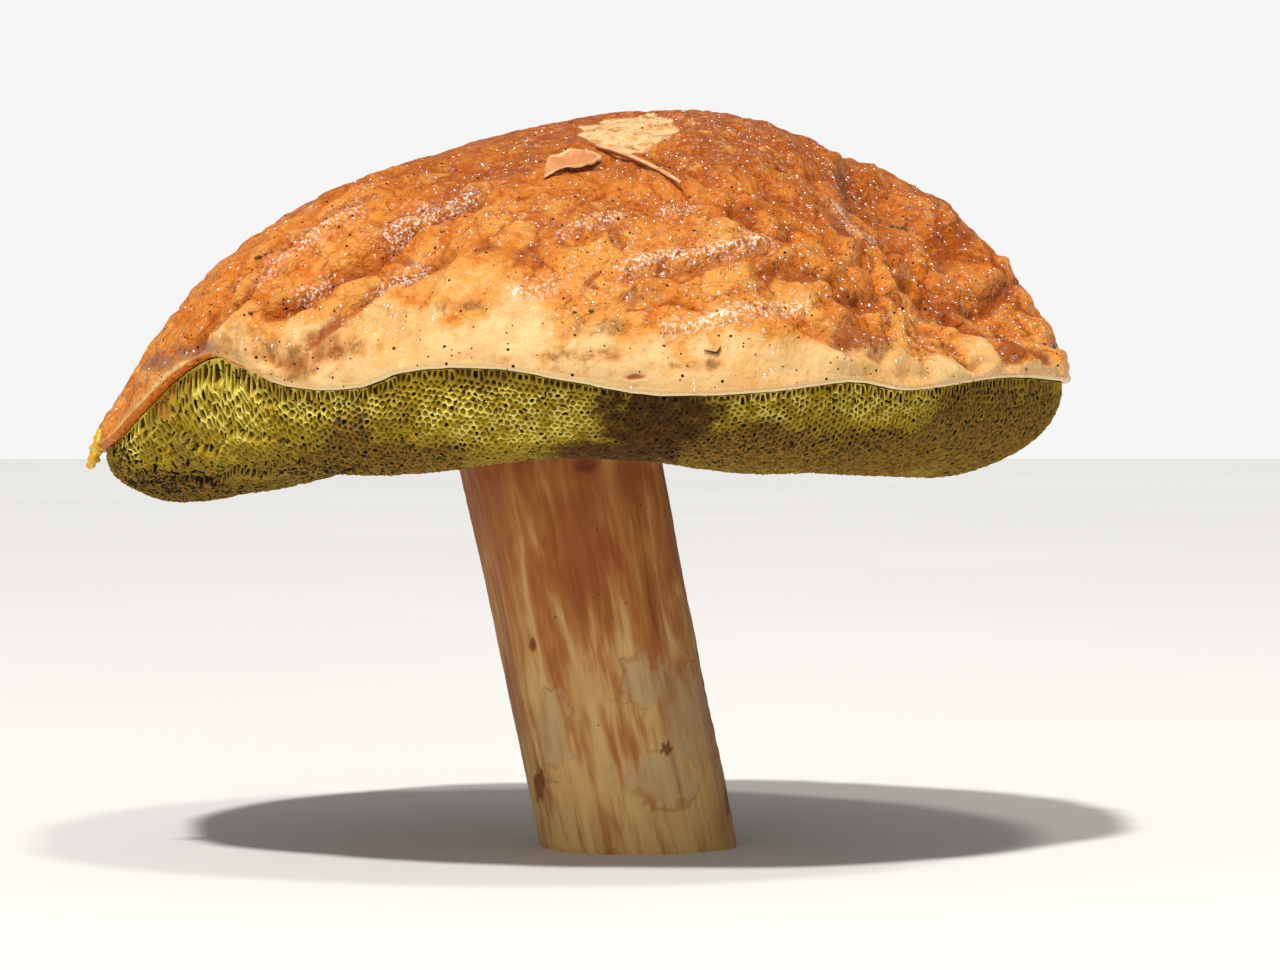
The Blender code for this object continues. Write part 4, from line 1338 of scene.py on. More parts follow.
@dataclass
class TubeLayer:
    """The tube layer: a sheet of open six-sided pores, bent from the stem out and up round the cap's underside."""

    cap: CapForm
    stem: StemForm
    bulge_inset: float = 1.4
    bulge_width: float = 15.5
    bulge_spread: float = 4.5
    bottom_heights: Knots = (
        (0, 60.0), (30, 60.8), (75, 61.0), (110, 60.0), (145, 58.0), (170, 56.4), (190, 55.8), (205, 56.6),
        (216, 57.9), (226, 60.2), (240, 60.8), (253, 62.2), (264, 63.2), (275, 63.6), (284, 63.0), (292, 61.8),
        (302, 60.8), (311, 61.0), (320, 60.4), (333, 59.8), (344, 59.1),
    )
    collar_height: float = 67.0
    collar: float = 17.0
    bend: float = 58.0
    top: float = 80.0
    gap: float = 0.4
    lump_size: float = 17.0
    lump_height: float = 1.0
    # The pores' own lattice: its outer radius is less, because the cells grow longer towards the lip
    lattice_top: float = 77.6
    step: float = 0.96
    jitter: float = 0.45
    jag_height: float = 0.20
    wall: float = 0.34
    lip_drop: float = 0.22
    depth: float = 1.5
    # The torn place on the left, where the tubes are long and break off in tiers
    notch: float = 221.0
    notch_half_width: float = 15.0
    tier_height: float = 1.5
    tiers: float = 3.2
    seams: tuple[float, ...] = (43.0, 58.0, 68.0)
    # Places on the side where light is painted on
    painted_light_spots: tuple[Spot, ...] = (
        Spot((-18, -68, 69.5), (16, 30, 4.5)),
        Spot((37, -62, 71.5), (10, 30, 3.6)),
        Spot((-77, -30, 67), (4, 20, 6)),
        Spot((-60, -45, 72), (7, 25, 8)),
        Spot((-44, -58, 71.0), (10, 25, 3.0)),
        Spot((20, -70, 71.0), (7, 25, 2.5)),
    )
    # Dark brown patches on the front of the layer
    dark_patch_spots: tuple[Spot, ...] = (Spot((2.5, -70, 68.5), (9, 25, 6)), Spot((-4, -62, 64.0), (10, 25, 2.5)))
    amber_spots: tuple[Spot, ...] = (Spot((-71.5, -42, 72.5), (2.6, 14, 3.5)), Spot((-86, 0, 64.0), (3, 16, 5)))
    brown_spots: tuple[Spot, ...] = (
        Spot((-38, -55, 62.5), (15, 30, 3.5)),
        Spot((16, -62, 64.5), (14, 30, 4.0)),
        Spot((58, -35, 66), (20, 45, 9)),
        Spot((36, -50, 63.5), (16, 40, 4.5)),
        Spot((-42, -50, 67.0), (4, 20, 4.5)),
        Spot((-72, -20, 57.0), (22, 60, 4.0)),
    )
    crust_spots: tuple[Spot, ...] = (
        Spot((-70, -35, 58.5), (14, 40, 3.2)),
        Spot((-79, -25, 63.0), (4, 20, 4.0)),
        Spot((-48, -45, 60.5), (9, 30, 2.0)),
    )
    # The line of an amber scrap that hangs from the torn edge at the far left
    scrap: tuple[tuple[float, float, float], ...] = (
        (-81.4, -27.2, 67.4), (-83.0, -26.2, 65.8), (-83.6, -25.4, 64.4), (-84.0, -24.8, 63.0), (-85.0, -23.0, 61.2),
    )
    scrap_radius: float = 0.95

    def surface(self, azimuth: Array, flat: Array) -> tuple[Array, Array]:
        """Points on the layer from its flat layout, by the source's formula.

        Up to the bend they lie on the underside, from the stem's collar outwards. Past it they climb a quarter
        ellipse.

        Args:
            azimuth: Degrees.
            flat: Distance from the middle of the layer laid out flat.

        Returns:
            The points, and the unit vectors out of the layer there.
        """
        collar, bend, top = self.collar * MM, self.bend * MM, self.top * MM
        low = closed_curve(azimuth, self.bottom_heights) * MM
        width = (self.bulge_width + self.bulge_spread * np.cos(np.radians(azimuth))) * MM
        climb = np.clip((flat - bend) / (top - bend), 0, 1) * math.pi / 2
        inset = self.bulge_inset * MM + width * (1 - np.sin(climb))
        side = self.cap.from_rim(azimuth, inset, np.full(len(azimuth), -self.gap * MM))
        side[:, 2] = side[:, 2] - (side[:, 2] - low) * np.cos(climb)
        share = np.clip((flat - collar) / (bend - collar), 0, 1)
        inner = self.stem.skin(azimuth, np.full(len(azimuth), self.collar_height * MM), self.gap * MM)
        floor = inner + (side - inner) * share[:, None]
        floor[:, 2] = self.collar_height * MM + (low - self.collar_height * MM) * ease(0.0, 1.0, share) ** 0.7
        points = np.where((flat < bend)[:, None], floor, side)
        out = np.column_stack([bearing(azimuth) * np.sin(climb)[:, None], -np.cos(climb)])
        swell = self.lump_height * MM * cloud(points, self.lump_size * MM, Draw.TUBE_LUMPS) * ease(0, 0.15, share)
        fade = 1 - ease(top - 7 * MM, top - 2 * MM, flat)
        return points + out * (swell * fade)[:, None], out

    def in_notch(self, azimuth: Array) -> Array:
        """1 in the middle of the torn place, falling off round it as a bell."""
        return np.exp(-((degrees_apart(azimuth, self.notch) / self.notch_half_width) ** 2))

    def spread(self, reach: Array, azimuth: Array) -> Array:
        """Flat layout distance for a distance on the pores' lattice.

        It is the same up to the bend. Past it, with s the share of the way to the lattice's edge, it is
        1.05 s - 0.05 s**4 of the way from the bend to the top, and in the middle of the notch 0.45 s + 0.55 s**3.

        Args:
            reach: Distance from the middle on the lattice.
            azimuth: Degrees.

        Returns:
            The distance from the middle of the layer laid out flat.
        """
        bend, top = self.bend * MM, self.top * MM
        s = np.clip((reach - bend) / (self.lattice_top * MM - bend), 0, 1)
        even = 1.05 * s - 0.05 * s**4
        long = 0.45 * s + 0.55 * s**3
        return np.where(reach < bend, reach, bend + (top - bend) * (even + (long - even) * self.in_notch(azimuth)))

    def tier(self, points: Array, azimuth: Array, flat: Array) -> Array:
        """How far the notch's broken tiers stand out: a sawtooth up the side, bent by noise.

        Args:
            points: Points on the layer.
            azimuth: Their azimuths.
            flat: Their flat layout distances.

        Returns:
            Metres out of the layer.
        """
        climb = (flat / MM - self.bend) / (self.top - self.bend)
        saw = np.mod(climb * self.tiers + 0.6 * cloud(points, 6 * MM, Draw.TIERS) + 0.15, 1) - 0.4
        return self.tier_height * MM * saw * self.in_notch(azimuth) * ease(0.05, 0.25, climb) * ease(1.0, 0.9, climb)

    def lattice(self) -> tuple[Array, Array, Array]:
        """The pores laid out flat: a triangular lattice of jittered middles, and the points between each three.

        Returns:
            The middles of the cells, all the corners, and the six corner numbers of each cell in order round it.
        """
        step = self.step * MM
        reach_j = int(self.lattice_top * MM / (step * math.sqrt(3) / 2)) + 4
        reach_i = int(self.lattice_top * MM / step + reach_j / 2) + 4
        i, j = np.meshgrid(np.arange(-reach_i, reach_i + 1), np.arange(-reach_j, reach_j + 1), indexing="ij")
        middles = np.stack([(i + j / 2) * step, j * math.sqrt(3) / 2 * step], axis=-1)
        random = np.random.default_rng(Draw.PORE_JITTER)
        middles = middles + random.uniform(-1, 1, middles.shape) * self.jitter * step
        up = (middles[:-1, :-1] + middles[1:, :-1] + middles[:-1, 1:]) / 3
        down = (middles[1:, :-1] + middles[1:, 1:] + middles[:-1, 1:]) / 3
        corners = np.concatenate([up.reshape(-1, 2), down.reshape(-1, 2)])
        number = np.arange(up.shape[0] * up.shape[1]).reshape(up.shape[:2])
        second = number + number.size
        inner = middles[1:-1, 1:-1]
        round_cell = np.stack(
            [
                number[1:, 1:], second[:-1, 1:], number[:-1, 1:],
                second[:-1, :-1], number[1:, :-1], second[1:, :-1],
            ],
            axis=-1,
        )
        distance = np.linalg.norm(inner, axis=-1)
        keep = (distance > self.collar * MM + 0.6 * step) & (distance < self.lattice_top * MM - 0.6 * step)
        return inner[keep], corners, round_cell[keep]

    def build(self) -> list[bpy.types.Object]:
        """Makes the pores as four pieces, which meet point to point, and the scrap that hangs from their torn edge.

        Returns:
            The five pieces.
        """
        middles, corners, cells = self.lattice()
        zone = np.searchsorted(np.array(self.seams) * MM, np.linalg.norm(middles, axis=1))
        owned = np.bincount(cells.ravel(), minlength=len(corners))
        random = np.random.default_rng(Draw.PORE_TONES)
        tones = random.random(len(middles))
        deeps = 0.75 + 0.5 * random.random(len(middles))
        jag = random.uniform(-1, 1, len(corners))
        material = SpongyTubes().make()
        parts = []
        for place, name in enumerate(("pores_round_stem", "pores_below", "pores_low_side", "pores_high_side")):
            chosen = zone == place
            thing = self.part(name, middles[chosen], corners, cells[chosen], owned, tones[chosen], deeps[chosen], jag)
            thing.data.materials.append(material)
            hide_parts("tube_layer")
            parts.append(thing)
        return [*parts, self.torn_scrap()]

    def torn_scrap(self) -> bpy.types.Object:
        """A ragged rod along the scrap's own line, whose radius swells and shrinks by noise.

        Returns:
            The piece torn_scrap.
        """
        knots = np.array(self.scrap) * MM
        rows, sides = 40, 20
        along = np.linspace(0, len(knots) - 1, rows)
        spine = np.column_stack([np.interp(along, np.arange(len(knots)), knots[:, axis]) for axis in range(3)])
        radii = self.scrap_radius * MM * (0.35 + 0.65 * np.sin(np.linspace(0.25, 3.0, rows)) ** 0.6)
        points, faces = rod(spine, radii, sides)
        centre = np.vstack([spine.repeat(sides, axis=0), spine[[0, -1]]])
        lumpy = 1 + 0.55 * cloud(points, 1.1 * MM, Draw.SCRAP_LUMPS) + 0.25 * cloud(points, 0.5 * MM, Draw.SCRAP_GRIT)
        points = centre + (points - centre) * lumpy[:, None]
        marks = {"edge": np.clip(1.5 * np.abs(cloud(points, 1.4 * MM, Draw.SCRAP_EDGE)), 0, 1), "grain": points}
        thing = new_piece("torn_scrap", points, faces, marks, 50)
        thing.data.materials.append(
            DryLitter("torn_tubes", (0.72, 0.36, 0.020), (0.80, 0.62, 0.080), 0.6 * MM).make()
        )
        return facing_out(thing)

    def part(
        self, name: str, middles: Array, corners: Array, cells: Array,
        owned: Array, tones: Array, deeps: Array, jag: Array,
    ) -> bpy.types.Object:
        """Makes some of the pores: for each a rim shared with its neighbours, a lip inside it, a wall and a floor.

        Args:
            name: The piece's name.
            middles: The cells' middles on the lattice.
            corners: All corners of the lattice.
            cells: Six corner numbers for each of these cells.
            owned: How many cells of the whole layer share each corner.
            tones: A number from 0 to 1 for each cell.
            deeps: How deep each cell is, as a share of the usual depth.
            jag: How far each corner stands out, from -1 to 1.

        Returns:
            The piece.
        """
        used, number = np.unique(cells.ravel(), return_inverse=True)
        cells = number.reshape(cells.shape)
        at_edge = owned[used] < 3
        flat_points = corners[used]
        reach = np.linalg.norm(flat_points, axis=1)
        at_collar = at_edge & (reach < self.bend * MM)
        at_top = at_edge & (reach > self.bend * MM)
        reach = np.where(at_collar, self.collar * MM, np.where(at_top, self.lattice_top * MM, reach))
        azimuth = np.degrees(np.arctan2(flat_points[:, 1], flat_points[:, 0]))
        flat = self.spread(reach, azimuth)
        rim, out = self.surface(azimuth, flat)
        raised = self.jag_height * MM * jag[used] * ~at_edge + self.tier(rim, azimuth, flat)
        rim = rim + out * raised[:, None]
        # The layer closes up under the lip: half way, and fully at the far left
        closed = 0.55 + 0.45 * np.exp(-((degrees_apart(azimuth, 188.0) / 14) ** 2))
        rim[:, 2] += at_top * self.gap * MM * closed

        middle_reach = np.linalg.norm(middles, axis=1)
        middle_azimuth = np.degrees(np.arctan2(middles[:, 1], middles[:, 0]))
        middle_flat = self.spread(middle_reach, middle_azimuth)
        middle, middle_out = self.surface(middle_azimuth, middle_flat)
        bore = -0.7 * middle_out + np.array([0, 0, 0.75])
        bore /= np.linalg.norm(bore, axis=1, keepdims=True)
        near_lip = ease(self.top - 9, self.top - 1, middle_flat / MM)
        deep = self.depth * MM * deeps * (1 - 0.55 * near_lip)

        hexes = rim[cells]
        inwards = hexes.mean(axis=1, keepdims=True) - hexes
        wall = self.wall * (0.65 + 0.7 * tones[:, None, None])
        lip = hexes + inwards * wall + (bore * self.lip_drop * MM)[:, None]
        floor = hexes + inwards * 0.5 + (bore * deep[:, None])[:, None]
        count, total = len(middles), len(rim)
        lip_number = total + np.arange(6 * count).reshape(count, 6)
        floor_number = lip_number + 6 * count
        ahead = np.roll(np.arange(6), -1)
        levels = (cells, lip_number, floor_number)
        quads = [
            np.stack([upper, upper[:, ahead], lower[:, ahead], lower], axis=-1).reshape(-1, 4)
            for upper, lower in zip(levels, levels[1:])
        ]
        points = np.vstack([rim, lip.reshape(-1, 3), floor.reshape(-1, 3)])
        skirt_points, skirt_quads = self.skirt(cells, rim, azimuth, at_collar, at_top, len(points))
        points = np.vstack([points, skirt_points])
        quads.append(skirt_quads)
        extra = np.zeros(len(skirt_points))
        each = np.repeat
        marks = {
            "pit": np.concatenate([np.zeros(total), np.full(6 * count, 0.25), np.ones(6 * count), extra + 1]),
            "tone": np.concatenate([np.full(total, 0.6), each(tones, 6), each(tones, 6), extra]),
        }
        place = np.vstack([rim, each(middle, 6, axis=0), each(middle, 6, axis=0), skirt_points])
        climb = np.concatenate([flat, each(middle_flat, 6), each(middle_flat, 6), extra + self.top * MM])
        climb = np.clip((climb / MM - self.bend) / (self.top - self.bend), -1, 1)
        low = 1 - ease(-0.1, 0.42, climb)
        # Painted light: the lit places on the side, and more of it up the side than underneath
        marks["painted_light"] = np.maximum(any_spot(place, self.painted_light_spots), 0.48 * ease(0.1, 0.5, climb))
        marks["brown"] = np.maximum(any_spot(place, self.brown_spots, 0.3, 0.5), 0.75 * low)
        marks["dark_patch"] = any_spot(place, self.dark_patch_spots, 0.3, 0.45)
        marks["amber"] = any_spot(place, self.amber_spots)
        marks["crust"] = any_spot(place, self.crust_spots, 0.4, 0.7)
        return new_piece(name, points, [*quads, floor_number], marks, 35)

    def skirt(
        self, cells: Array, rim: Array, azimuth: Array, at_collar: Array, at_top: Array, start: int
    ) -> tuple[Array, Array]:
        """Closes the sheet's free edges: at the top it turns in under the lip, and at the collar up along the stem.

        Args:
            cells: Six corner numbers of each cell.
            rim: The corners' points.
            azimuth: The corners' azimuths.
            at_collar: Which corners lie on the edge at the stem.
            at_top: Which corners lie on the edge under the lip.
            start: The number that the first new point gets.

        Returns:
            The new points and the quads.
        """
        ahead = np.roll(np.arange(6), -1)
        edges = np.stack([cells, cells[:, ahead]], axis=-1).reshape(-1, 2)
        free = at_collar | at_top
        edges = edges[free[edges[:, 0]] & free[edges[:, 1]]]
        key = np.sort(edges, axis=1) @ np.array([len(rim), 1])
        _, first, times = np.unique(key, return_index=True, return_counts=True)
        edges = edges[first[times == 1]]
        ends, number = np.unique(edges.ravel(), return_inverse=True)
        number = start + number.reshape(-1, 2)
        inwards = -np.column_stack([bearing(azimuth[ends]), np.zeros(len(ends))])
        top = inwards * 2.2 * MM + np.array([0, 0, 0.9 * MM])
        up = np.tile([0, 0, 6 * MM], (len(ends), 1))
        points = rim[ends] + np.where(at_top[ends, None], top, up)
        return points, np.column_stack([edges[:, 1], edges[:, 0], number[:, 0], number[:, 1]])


# The stem


@dataclass
class Stem:
    """The stem: fibres along its side, bare places, stains, and a clean cut across the foot."""

    form: StemForm
    sides: int = 330
    rows: int = 230
    cut_rows: int = 26
    height: float = 79.6
    fibre_height: float = 0.16
    strand_height: float = 0.28
    bare_spots: tuple[Spot, ...] = (
        Spot((8.5, -14, 22), (5.0, 16, 8)),
        Spot((1.0, -15, 27), (4.0, 12, 4)),
        Spot((3.5, -16, 12), (6.0, 12, 4)),
        Spot((-13, -8, 20), (2.5, 12, 7)),
    )
    # How strongly painted shade darkens the stem, by azimuth
    painted_side_shade: Knots = (
        (0, 0.9), (40, 0.4), (90, 0.1), (150, 0.3), (190, 0.6), (212, 0.2), (240, 0.0), (305, 0.05), (332, 0.45),
    )
    star_place: tuple[float, float] = (4.4, 16.6)
    stain_spots: tuple[Spot, ...] = (
        Spot((-8.2, -15, 61.3), (1.8, 12, 1.2)),
        Spot((-16.5, -10, 33.0), (0.5, 12, 1.1)),
        Spot((-15.6, -6, 9.8), (0.9, 9, 3.0)),
        Spot((14.5, -8, 12.0), (0.8, 12, 7.0)),
    )

    def star(self, points: Array) -> Array:
        """A stain with five blunt points on the front, where the distance is under a radius that waves by angle.

        Args:
            points: Points on the stem.

        Returns:
            1 in the stain, and 0 outside it.
        """
        across = points[:, 0] / MM - self.star_place[0]
        up = points[:, 2] / MM - self.star_place[1]
        angle = np.arctan2(up, across)
        radius = 1.05 * (1 + 0.32 * np.cos(5 * angle + 0.6)) * (1 + 0.2 * cloud(points, 1.2 * MM, Draw.STAR_EDGE))
        return (1 - ease(0.82, 1.0, np.hypot(across, up) / radius)) * (points[:, 1] < 0)

    def shade(self, azimuth: Array) -> Array:
        """How strongly painted shade darkens the stem: most on its right, a little on its left, and not at the front
        or back.
        """
        return closed_curve(azimuth, self.painted_side_shade)

    def build(self) -> bpy.types.Object:
        """Makes one grid, from the middle of the cut out to its edge and up the side, closed at both ends.

        Returns:
            The piece stem_skin.
        """
        turn = np.arange(self.sides) * 360 / self.sides
        out = np.linspace(0, 1, self.cut_rows + 1)[1:]
        heights = np.linspace(0, 1, self.rows + 1)[1:] * self.height * MM
        azimuth = np.tile(turn, self.cut_rows + self.rows)
        share = np.concatenate([np.repeat(out, self.sides), np.ones(self.rows * self.sides)])
        height = np.concatenate([np.zeros(self.cut_rows * self.sides), np.repeat(heights, self.sides)])
        points = self.form.skin(azimuth, height)
        grain = np.column_stack([self.form.radius * MM * bearing(azimuth), height])
        bent = grain + 0.7 * MM * drift(grain, 11 * MM, Draw.FIBRE_BEND)
        fibre = 1 - 2 * np.abs(cloud(bent * [1, 1, 0.07], 0.85 * MM, Draw.FIBRES))
        strand = cloud(bent * [1, 1, 0.10], 2.6 * MM, Draw.STRANDS)
        bare = any_spot(points, self.bare_spots, 0.35, 0.6)
        star = self.star(points)
        side = share >= 1
        relief = MM * (
            self.fibre_height * fibre * (1 - 0.7 * bare)
            + self.strand_height * strand
            - 0.14 * bare
            + 0.10 * star
            - 0.5 * any_spot(points, self.stain_spots[2:3], 0.2, 0.3)
        )
        relief = relief * side * ease(0, 0.8 * MM, height) - 0.15 * MM * side * ease(0.8 * MM, 0, height)
        middle = np.column_stack([self.form.middle(height), height])
        outwards = np.column_stack([bearing(azimuth), 0 * azimuth])
        points = middle + (points - middle) * share[:, None] + outwards * relief[:, None]
        nick = 0.12 * MM * (1 - share) * ease(0, 0.1, 1 - share)
        points[:, 2] += np.where(side, 0, nick * (1 + cloud(points, 3 * MM, Draw.CUT_NICKS)))
        points = np.vstack([points, points[: self.sides].mean(axis=0), points[-self.sides :].mean(axis=0)])
        stain = np.maximum(any_spot(points[:-2], self.stain_spots, 0.3, 0.3), star)
        cut = np.concatenate([(~side).astype(float), [1.0, 0.0]])
        marks = {
            "bare": np.concatenate([bare * side, [0, 0]]),
            "stain": np.concatenate([stain * side, [0, 0]]) * 0.85,
            "height": np.concatenate([height / (self.form.lean_height * MM), [0, 1]]),
            "cut": cut,
            "shade": np.concatenate([self.shade(azimuth) * side, [0, 0]]),
            "grain": np.vstack([grain, np.zeros((2, 3))]),
        }
        faces = stack_faces(self.cut_rows + self.rows, self.sides)
        thing = new_piece("stem_skin", points, faces, marks, 60)
        thing.data.materials.append(StreakedStem().make())
        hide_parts("stem")
        return facing_out(thing)


# What sticks to the cap


@dataclass
class Litter:
    """The dry leaf scrap, the needle, and the crumbs and the forked twig that stick to the cap."""

    cap: Cap
    scale_tip: tuple[float, float] = (-14.2, -46.2)
    scale_base: tuple[float, float] = (-5.4, -39.3)
    scale_half_width: float = 2.4
    scale_lift: float = 0.7
    scale_thickness: float = 0.3
    needle_ends: tuple[tuple[float, float], tuple[float, float]] = ((-6.3, -34.9), (6.4, -47.4))
    needle_radius: float = 0.42
    cling: float = 0.45
    # Seen from the front: x, z and radius in millimetres
    crumb_places: tuple[tuple[float, float, float], ...] = (
        (-57.2, 93.0, 0.35), (-56.5, 93.2, 0.42), (-55.6, 93.5, 0.40), (-54.8, 93.6, 0.32), (41.0, 103.4, 0.6),
        (41.9, 102.7, 0.5), (42.4, 101.8, 0.45), (43.2, 100.9, 0.4), (41.6, 101.6, 0.3),
        (65.0, 80.3, 0.6), (64.2, 81.6, 0.4), (-14.9, 107.6, 0.35), (3.8, 79.9, 0.3), (-6.8, 85.0, 0.45),
        (-9.3, 84.6, 0.35), (-56.8, 84.4, 0.45), (-3.5, 101.3, 0.3), (52.3, 84.5, 0.45), (-29.0, 96.6, 0.4),
    )

    def bud_scale(self) -> bpy.types.Object:
        """A pointed oval blade, cupped across and curled at the edges, as a grid over and a grid under.

        Returns:
            The piece bud_scale_blade.
        """
        steps, lanes = 64, 20
        tip, base = np.array(self.scale_tip) * MM, np.array(self.scale_base) * MM
        length = base - tip
        across = np.array([-length[1], length[0]]) / np.linalg.norm(length)
        t, v = np.meshgrid(np.linspace(0.015, 0.985, steps), np.linspace(-1, 1, lanes), indexing="ij")
        t, v = t.ravel(), v.ravel()
        half = self.scale_half_width * MM * np.sin(math.pi * t**0.9) ** 1.15
        half = half * (1 + 0.04 * np.sin(31 * t + 2 * np.sign(v)) * np.abs(v))
        plan = tip + length * t[:, None] + across * (half * v)[:, None]
        points = self.cap.over_plan(plan)
        points[:, 2] = points[:, 2].reshape(steps, lanes).mean(axis=1).repeat(lanes) * 0.6 + points[:, 2] * 0.4
        vein = 0.10 * np.exp(-((v / 0.07) ** 2)) + 0.05 * np.cos(9 * v * math.pi + 6 * t)
        lift = self.scale_lift * (1 + v) * np.sin(math.pi * t) ** 0.6
        points[:, 2] += MM * (self.cling + lift + 0.35 * v**2 + 0.12 * np.sin(7 * t) * np.abs(v) + vein)
        low = points.copy()
        low[:, 2] -= self.scale_thickness * MM
        number = np.arange(steps * lanes).reshape(steps, lanes)
        border = np.concatenate([number[0, :-1], number[:-1, -1], number[-1, :0:-1], number[:0:-1, 0]])
        over = np.stack([number[:-1, :-1], number[1:, :-1], number[1:, 1:], number[:-1, 1:]], axis=-1).reshape(-1, 4)
        wall = band_faces(border, border + number.size)
        grain = np.column_stack([t * 12 * MM, half * v, 0 * v])
        edge = np.abs(v) ** 3 * 0.9 + ease(0.86, 1.0, t)
        marks = {"grain": np.vstack([grain, grain]), "edge": np.tile(edge, 2)}
        faces = [over, over[:, ::-1] + number.size, wall]
        thing = new_piece("bud_scale_blade", np.vstack([points, low]), faces, marks, 50)
        thing.data.materials.append(
            DryLitter("dry_leaf", (0.60, 0.235, 0.075), (0.78, 0.52, 0.24), 0.8 * MM).make()
        )
        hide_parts("bud_scale")
        return facing_out(thing)

    def spruce_needle(self) -> bpy.types.Object:
        """A four-angled tapered rod that lies along the cap: its spine is a parabola through the heights under it.

        Returns:
            The piece spruce_needle_rod.
        """
        rows, sides = 60, 12
        along = np.linspace(0, 1, rows)
        ends = np.array(self.needle_ends) * MM
        plan = ends[0] + (ends[1] - ends[0]) * along[:, None]
        height = self.cap.over_plan(plan)[:, 2]
        height = np.polyval(np.polyfit(along, height, 2), along)
        spine = np.column_stack([plan, height + (self.cling + self.needle_radius * 0.8) * MM])
        radii = self.needle_radius * MM * (1 - 0.25 * along**3) * (1 - 0.25 * np.exp(-((along / 0.04) ** 2)))
        points, faces = rod(spine, radii, sides)
        centre = spine.repeat(sides, axis=0)
        ring = np.tile(1 + 0.16 * np.cos(4 * np.arange(sides) * 2 * math.pi / sides), rows)
        points[:-2] = centre + (points[:-2] - centre) * ring[:, None]
        grain = np.column_stack([along.repeat(sides) * 17 * MM, ring * MM * 3, 0 * ring])
        grain = np.vstack([grain, np.zeros((2, 3))])
        # Pale on its upper side as a painted highlight, and pale at its tip
        edge = np.concatenate([np.tile((np.sin(np.arange(sides) * math.pi / 6) > 0.2) * 0.8, rows), [0.5, 1]])
        edge = np.maximum(edge, np.concatenate([ease(0.93, 1, along).repeat(sides), [0.5, 1]]))
        thing = new_piece("spruce_needle_rod", points, faces, {"grain": grain, "edge": edge}, 50)
        # The edge colour is a painted highlight on the upper side
        thing.data.materials.append(
            DryLitter("dry_needle", (0.36, 0.125, 0.045), (0.74, 0.42, 0.20), 0.5 * MM).make()
        )
        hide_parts("spruce_needle")
        return facing_out(thing)

    def crumbs(self) -> bpy.types.Object:
        """Grains of soil, each a ball that is pressed flat and made lumpy by noise.

        Returns:
            The piece soil_crumbs.
        """
        rows, sides = 9, 12
        tilt = np.linspace(0, math.pi, rows + 2)[1:-1]
        turn = np.arange(sides) * 2 * math.pi / sides
        ball = np.stack(
            [
                np.outer(np.sin(tilt), np.cos(turn)),
                np.outer(np.sin(tilt), np.sin(turn)),
                np.outer(np.cos(tilt), np.ones(sides)),
            ],
            axis=-1,
        ).reshape(-1, 3)
        ball = np.vstack([ball, [0, 0, 1], [0, 0, -1]])
        grains = []
        for k, (x, z, radius) in enumerate(self.crumb_places):
            lumpy = ball * (1 + 0.35 * cloud(ball + 7.3 * k, 0.7, Draw.CRUMBS))[:, None] * [1.2, 0.8, 0.8]
            grains.append(self.cap.seen_at(x, z) + lumpy * radius * MM * 0.8)
        points = np.vstack(grains)
        starts = np.arange(len(grains)) * len(ball)
        # The rings run from the top down, so their faces are turned over
        groups = [group[:, ::-1] for group in stack_faces(rows, sides)]
        faces = [(group + starts[:, None, None]).reshape(-1, group.shape[1]) for group in groups]
        marks = {"grain": points, "edge": np.abs(cloud(points, 1.1 * MM, Draw.CRUMB_EDGE)) * 1.3}
        thing = new_piece("soil_crumbs", points, faces, marks, 40)
        thing.data.materials.append(
            DryLitter("soil_crumb", (0.065, 0.038, 0.020), (0.30, 0.22, 0.12), 0.35 * MM).make()
        )
        return facing_out(thing)

    def twig(self) -> bpy.types.Object:
        """A tiny forked twig on the cream margin: two short rods that meet in a V.

        Returns:
            The piece forked_twig.
        """
        rows, sides = 12, 8
        along = np.linspace(0, 1, rows)
        bow = np.array([0.1, -0.12, 0]) * MM * np.sin(math.pi * along)[:, None]
        low = self.cap.seen_at(11.2, 78.5) + np.array([0, -0.25, 0]) * MM
        points, faces, start = [], [[], []], 0
        for x, z in ((9.7, 79.2), (11.9, 79.7)):
            high = self.cap.seen_at(x, z) + np.array([0, -0.3, 0]) * MM
            spine = low + (high - low) * along[:, None] + bow
            rod_points, rod_faces = rod(spine, np.linspace(0.19, 0.10, rows) * MM, sides)
            points.append(rod_points)
            faces[0].append(rod_faces[0] + start)
            faces[1].append(rod_faces[1] + start)
            start += len(rod_points)
        points = np.vstack(points)
        marks = {"grain": points, "edge": np.zeros(len(points))}
        thing = new_piece("forked_twig", points, [np.concatenate(group) for group in faces], marks, 60)
        thing.data.materials.append(DryLitter("dark_twig", (0.06, 0.030, 0.016), (0.2, 0.12, 0.06), 0.3 * MM).make())
        return facing_out(thing)

    def build(self) -> list[bpy.types.Object]:
        """Makes each scrap."""
        return [self.bud_scale(), self.spruce_needle(), self.crumbs(), self.twig()]


# The studio


@dataclass(frozen=True)
class Lamp:
    """A square area light: where it is, how wide, how strong, what colour and what it is turned to."""

    name: str
    place: tuple[float, float, float]
    size: float
    watts: float
    colour: Colour = (1.0, 1.0, 1.0)
    target: tuple[float, float, float] = (0.0, 0.0, 0.08)

    def make(self) -> None:
        """Adds the light."""
        light = bpy.data.lights.new(self.name, "AREA")
        light.size = self.size
        light.energy = self.watts
        light.color = self.colour
        thing = bpy.data.objects.new(self.name, light)
        thing.location = self.place
        thing.rotation_euler = aim(self.place, self.target)
        bpy.context.scene.collection.objects.link(thing)


def aim(place: tuple[float, float, float], target: tuple[float, float, float]) -> object:
    """The rotation that turns an object's -Z from place to target, with its +Y as near up as it can be."""
    return (Vector(target) - Vector(place)).to_track_quat("-Z", "Y").to_euler()


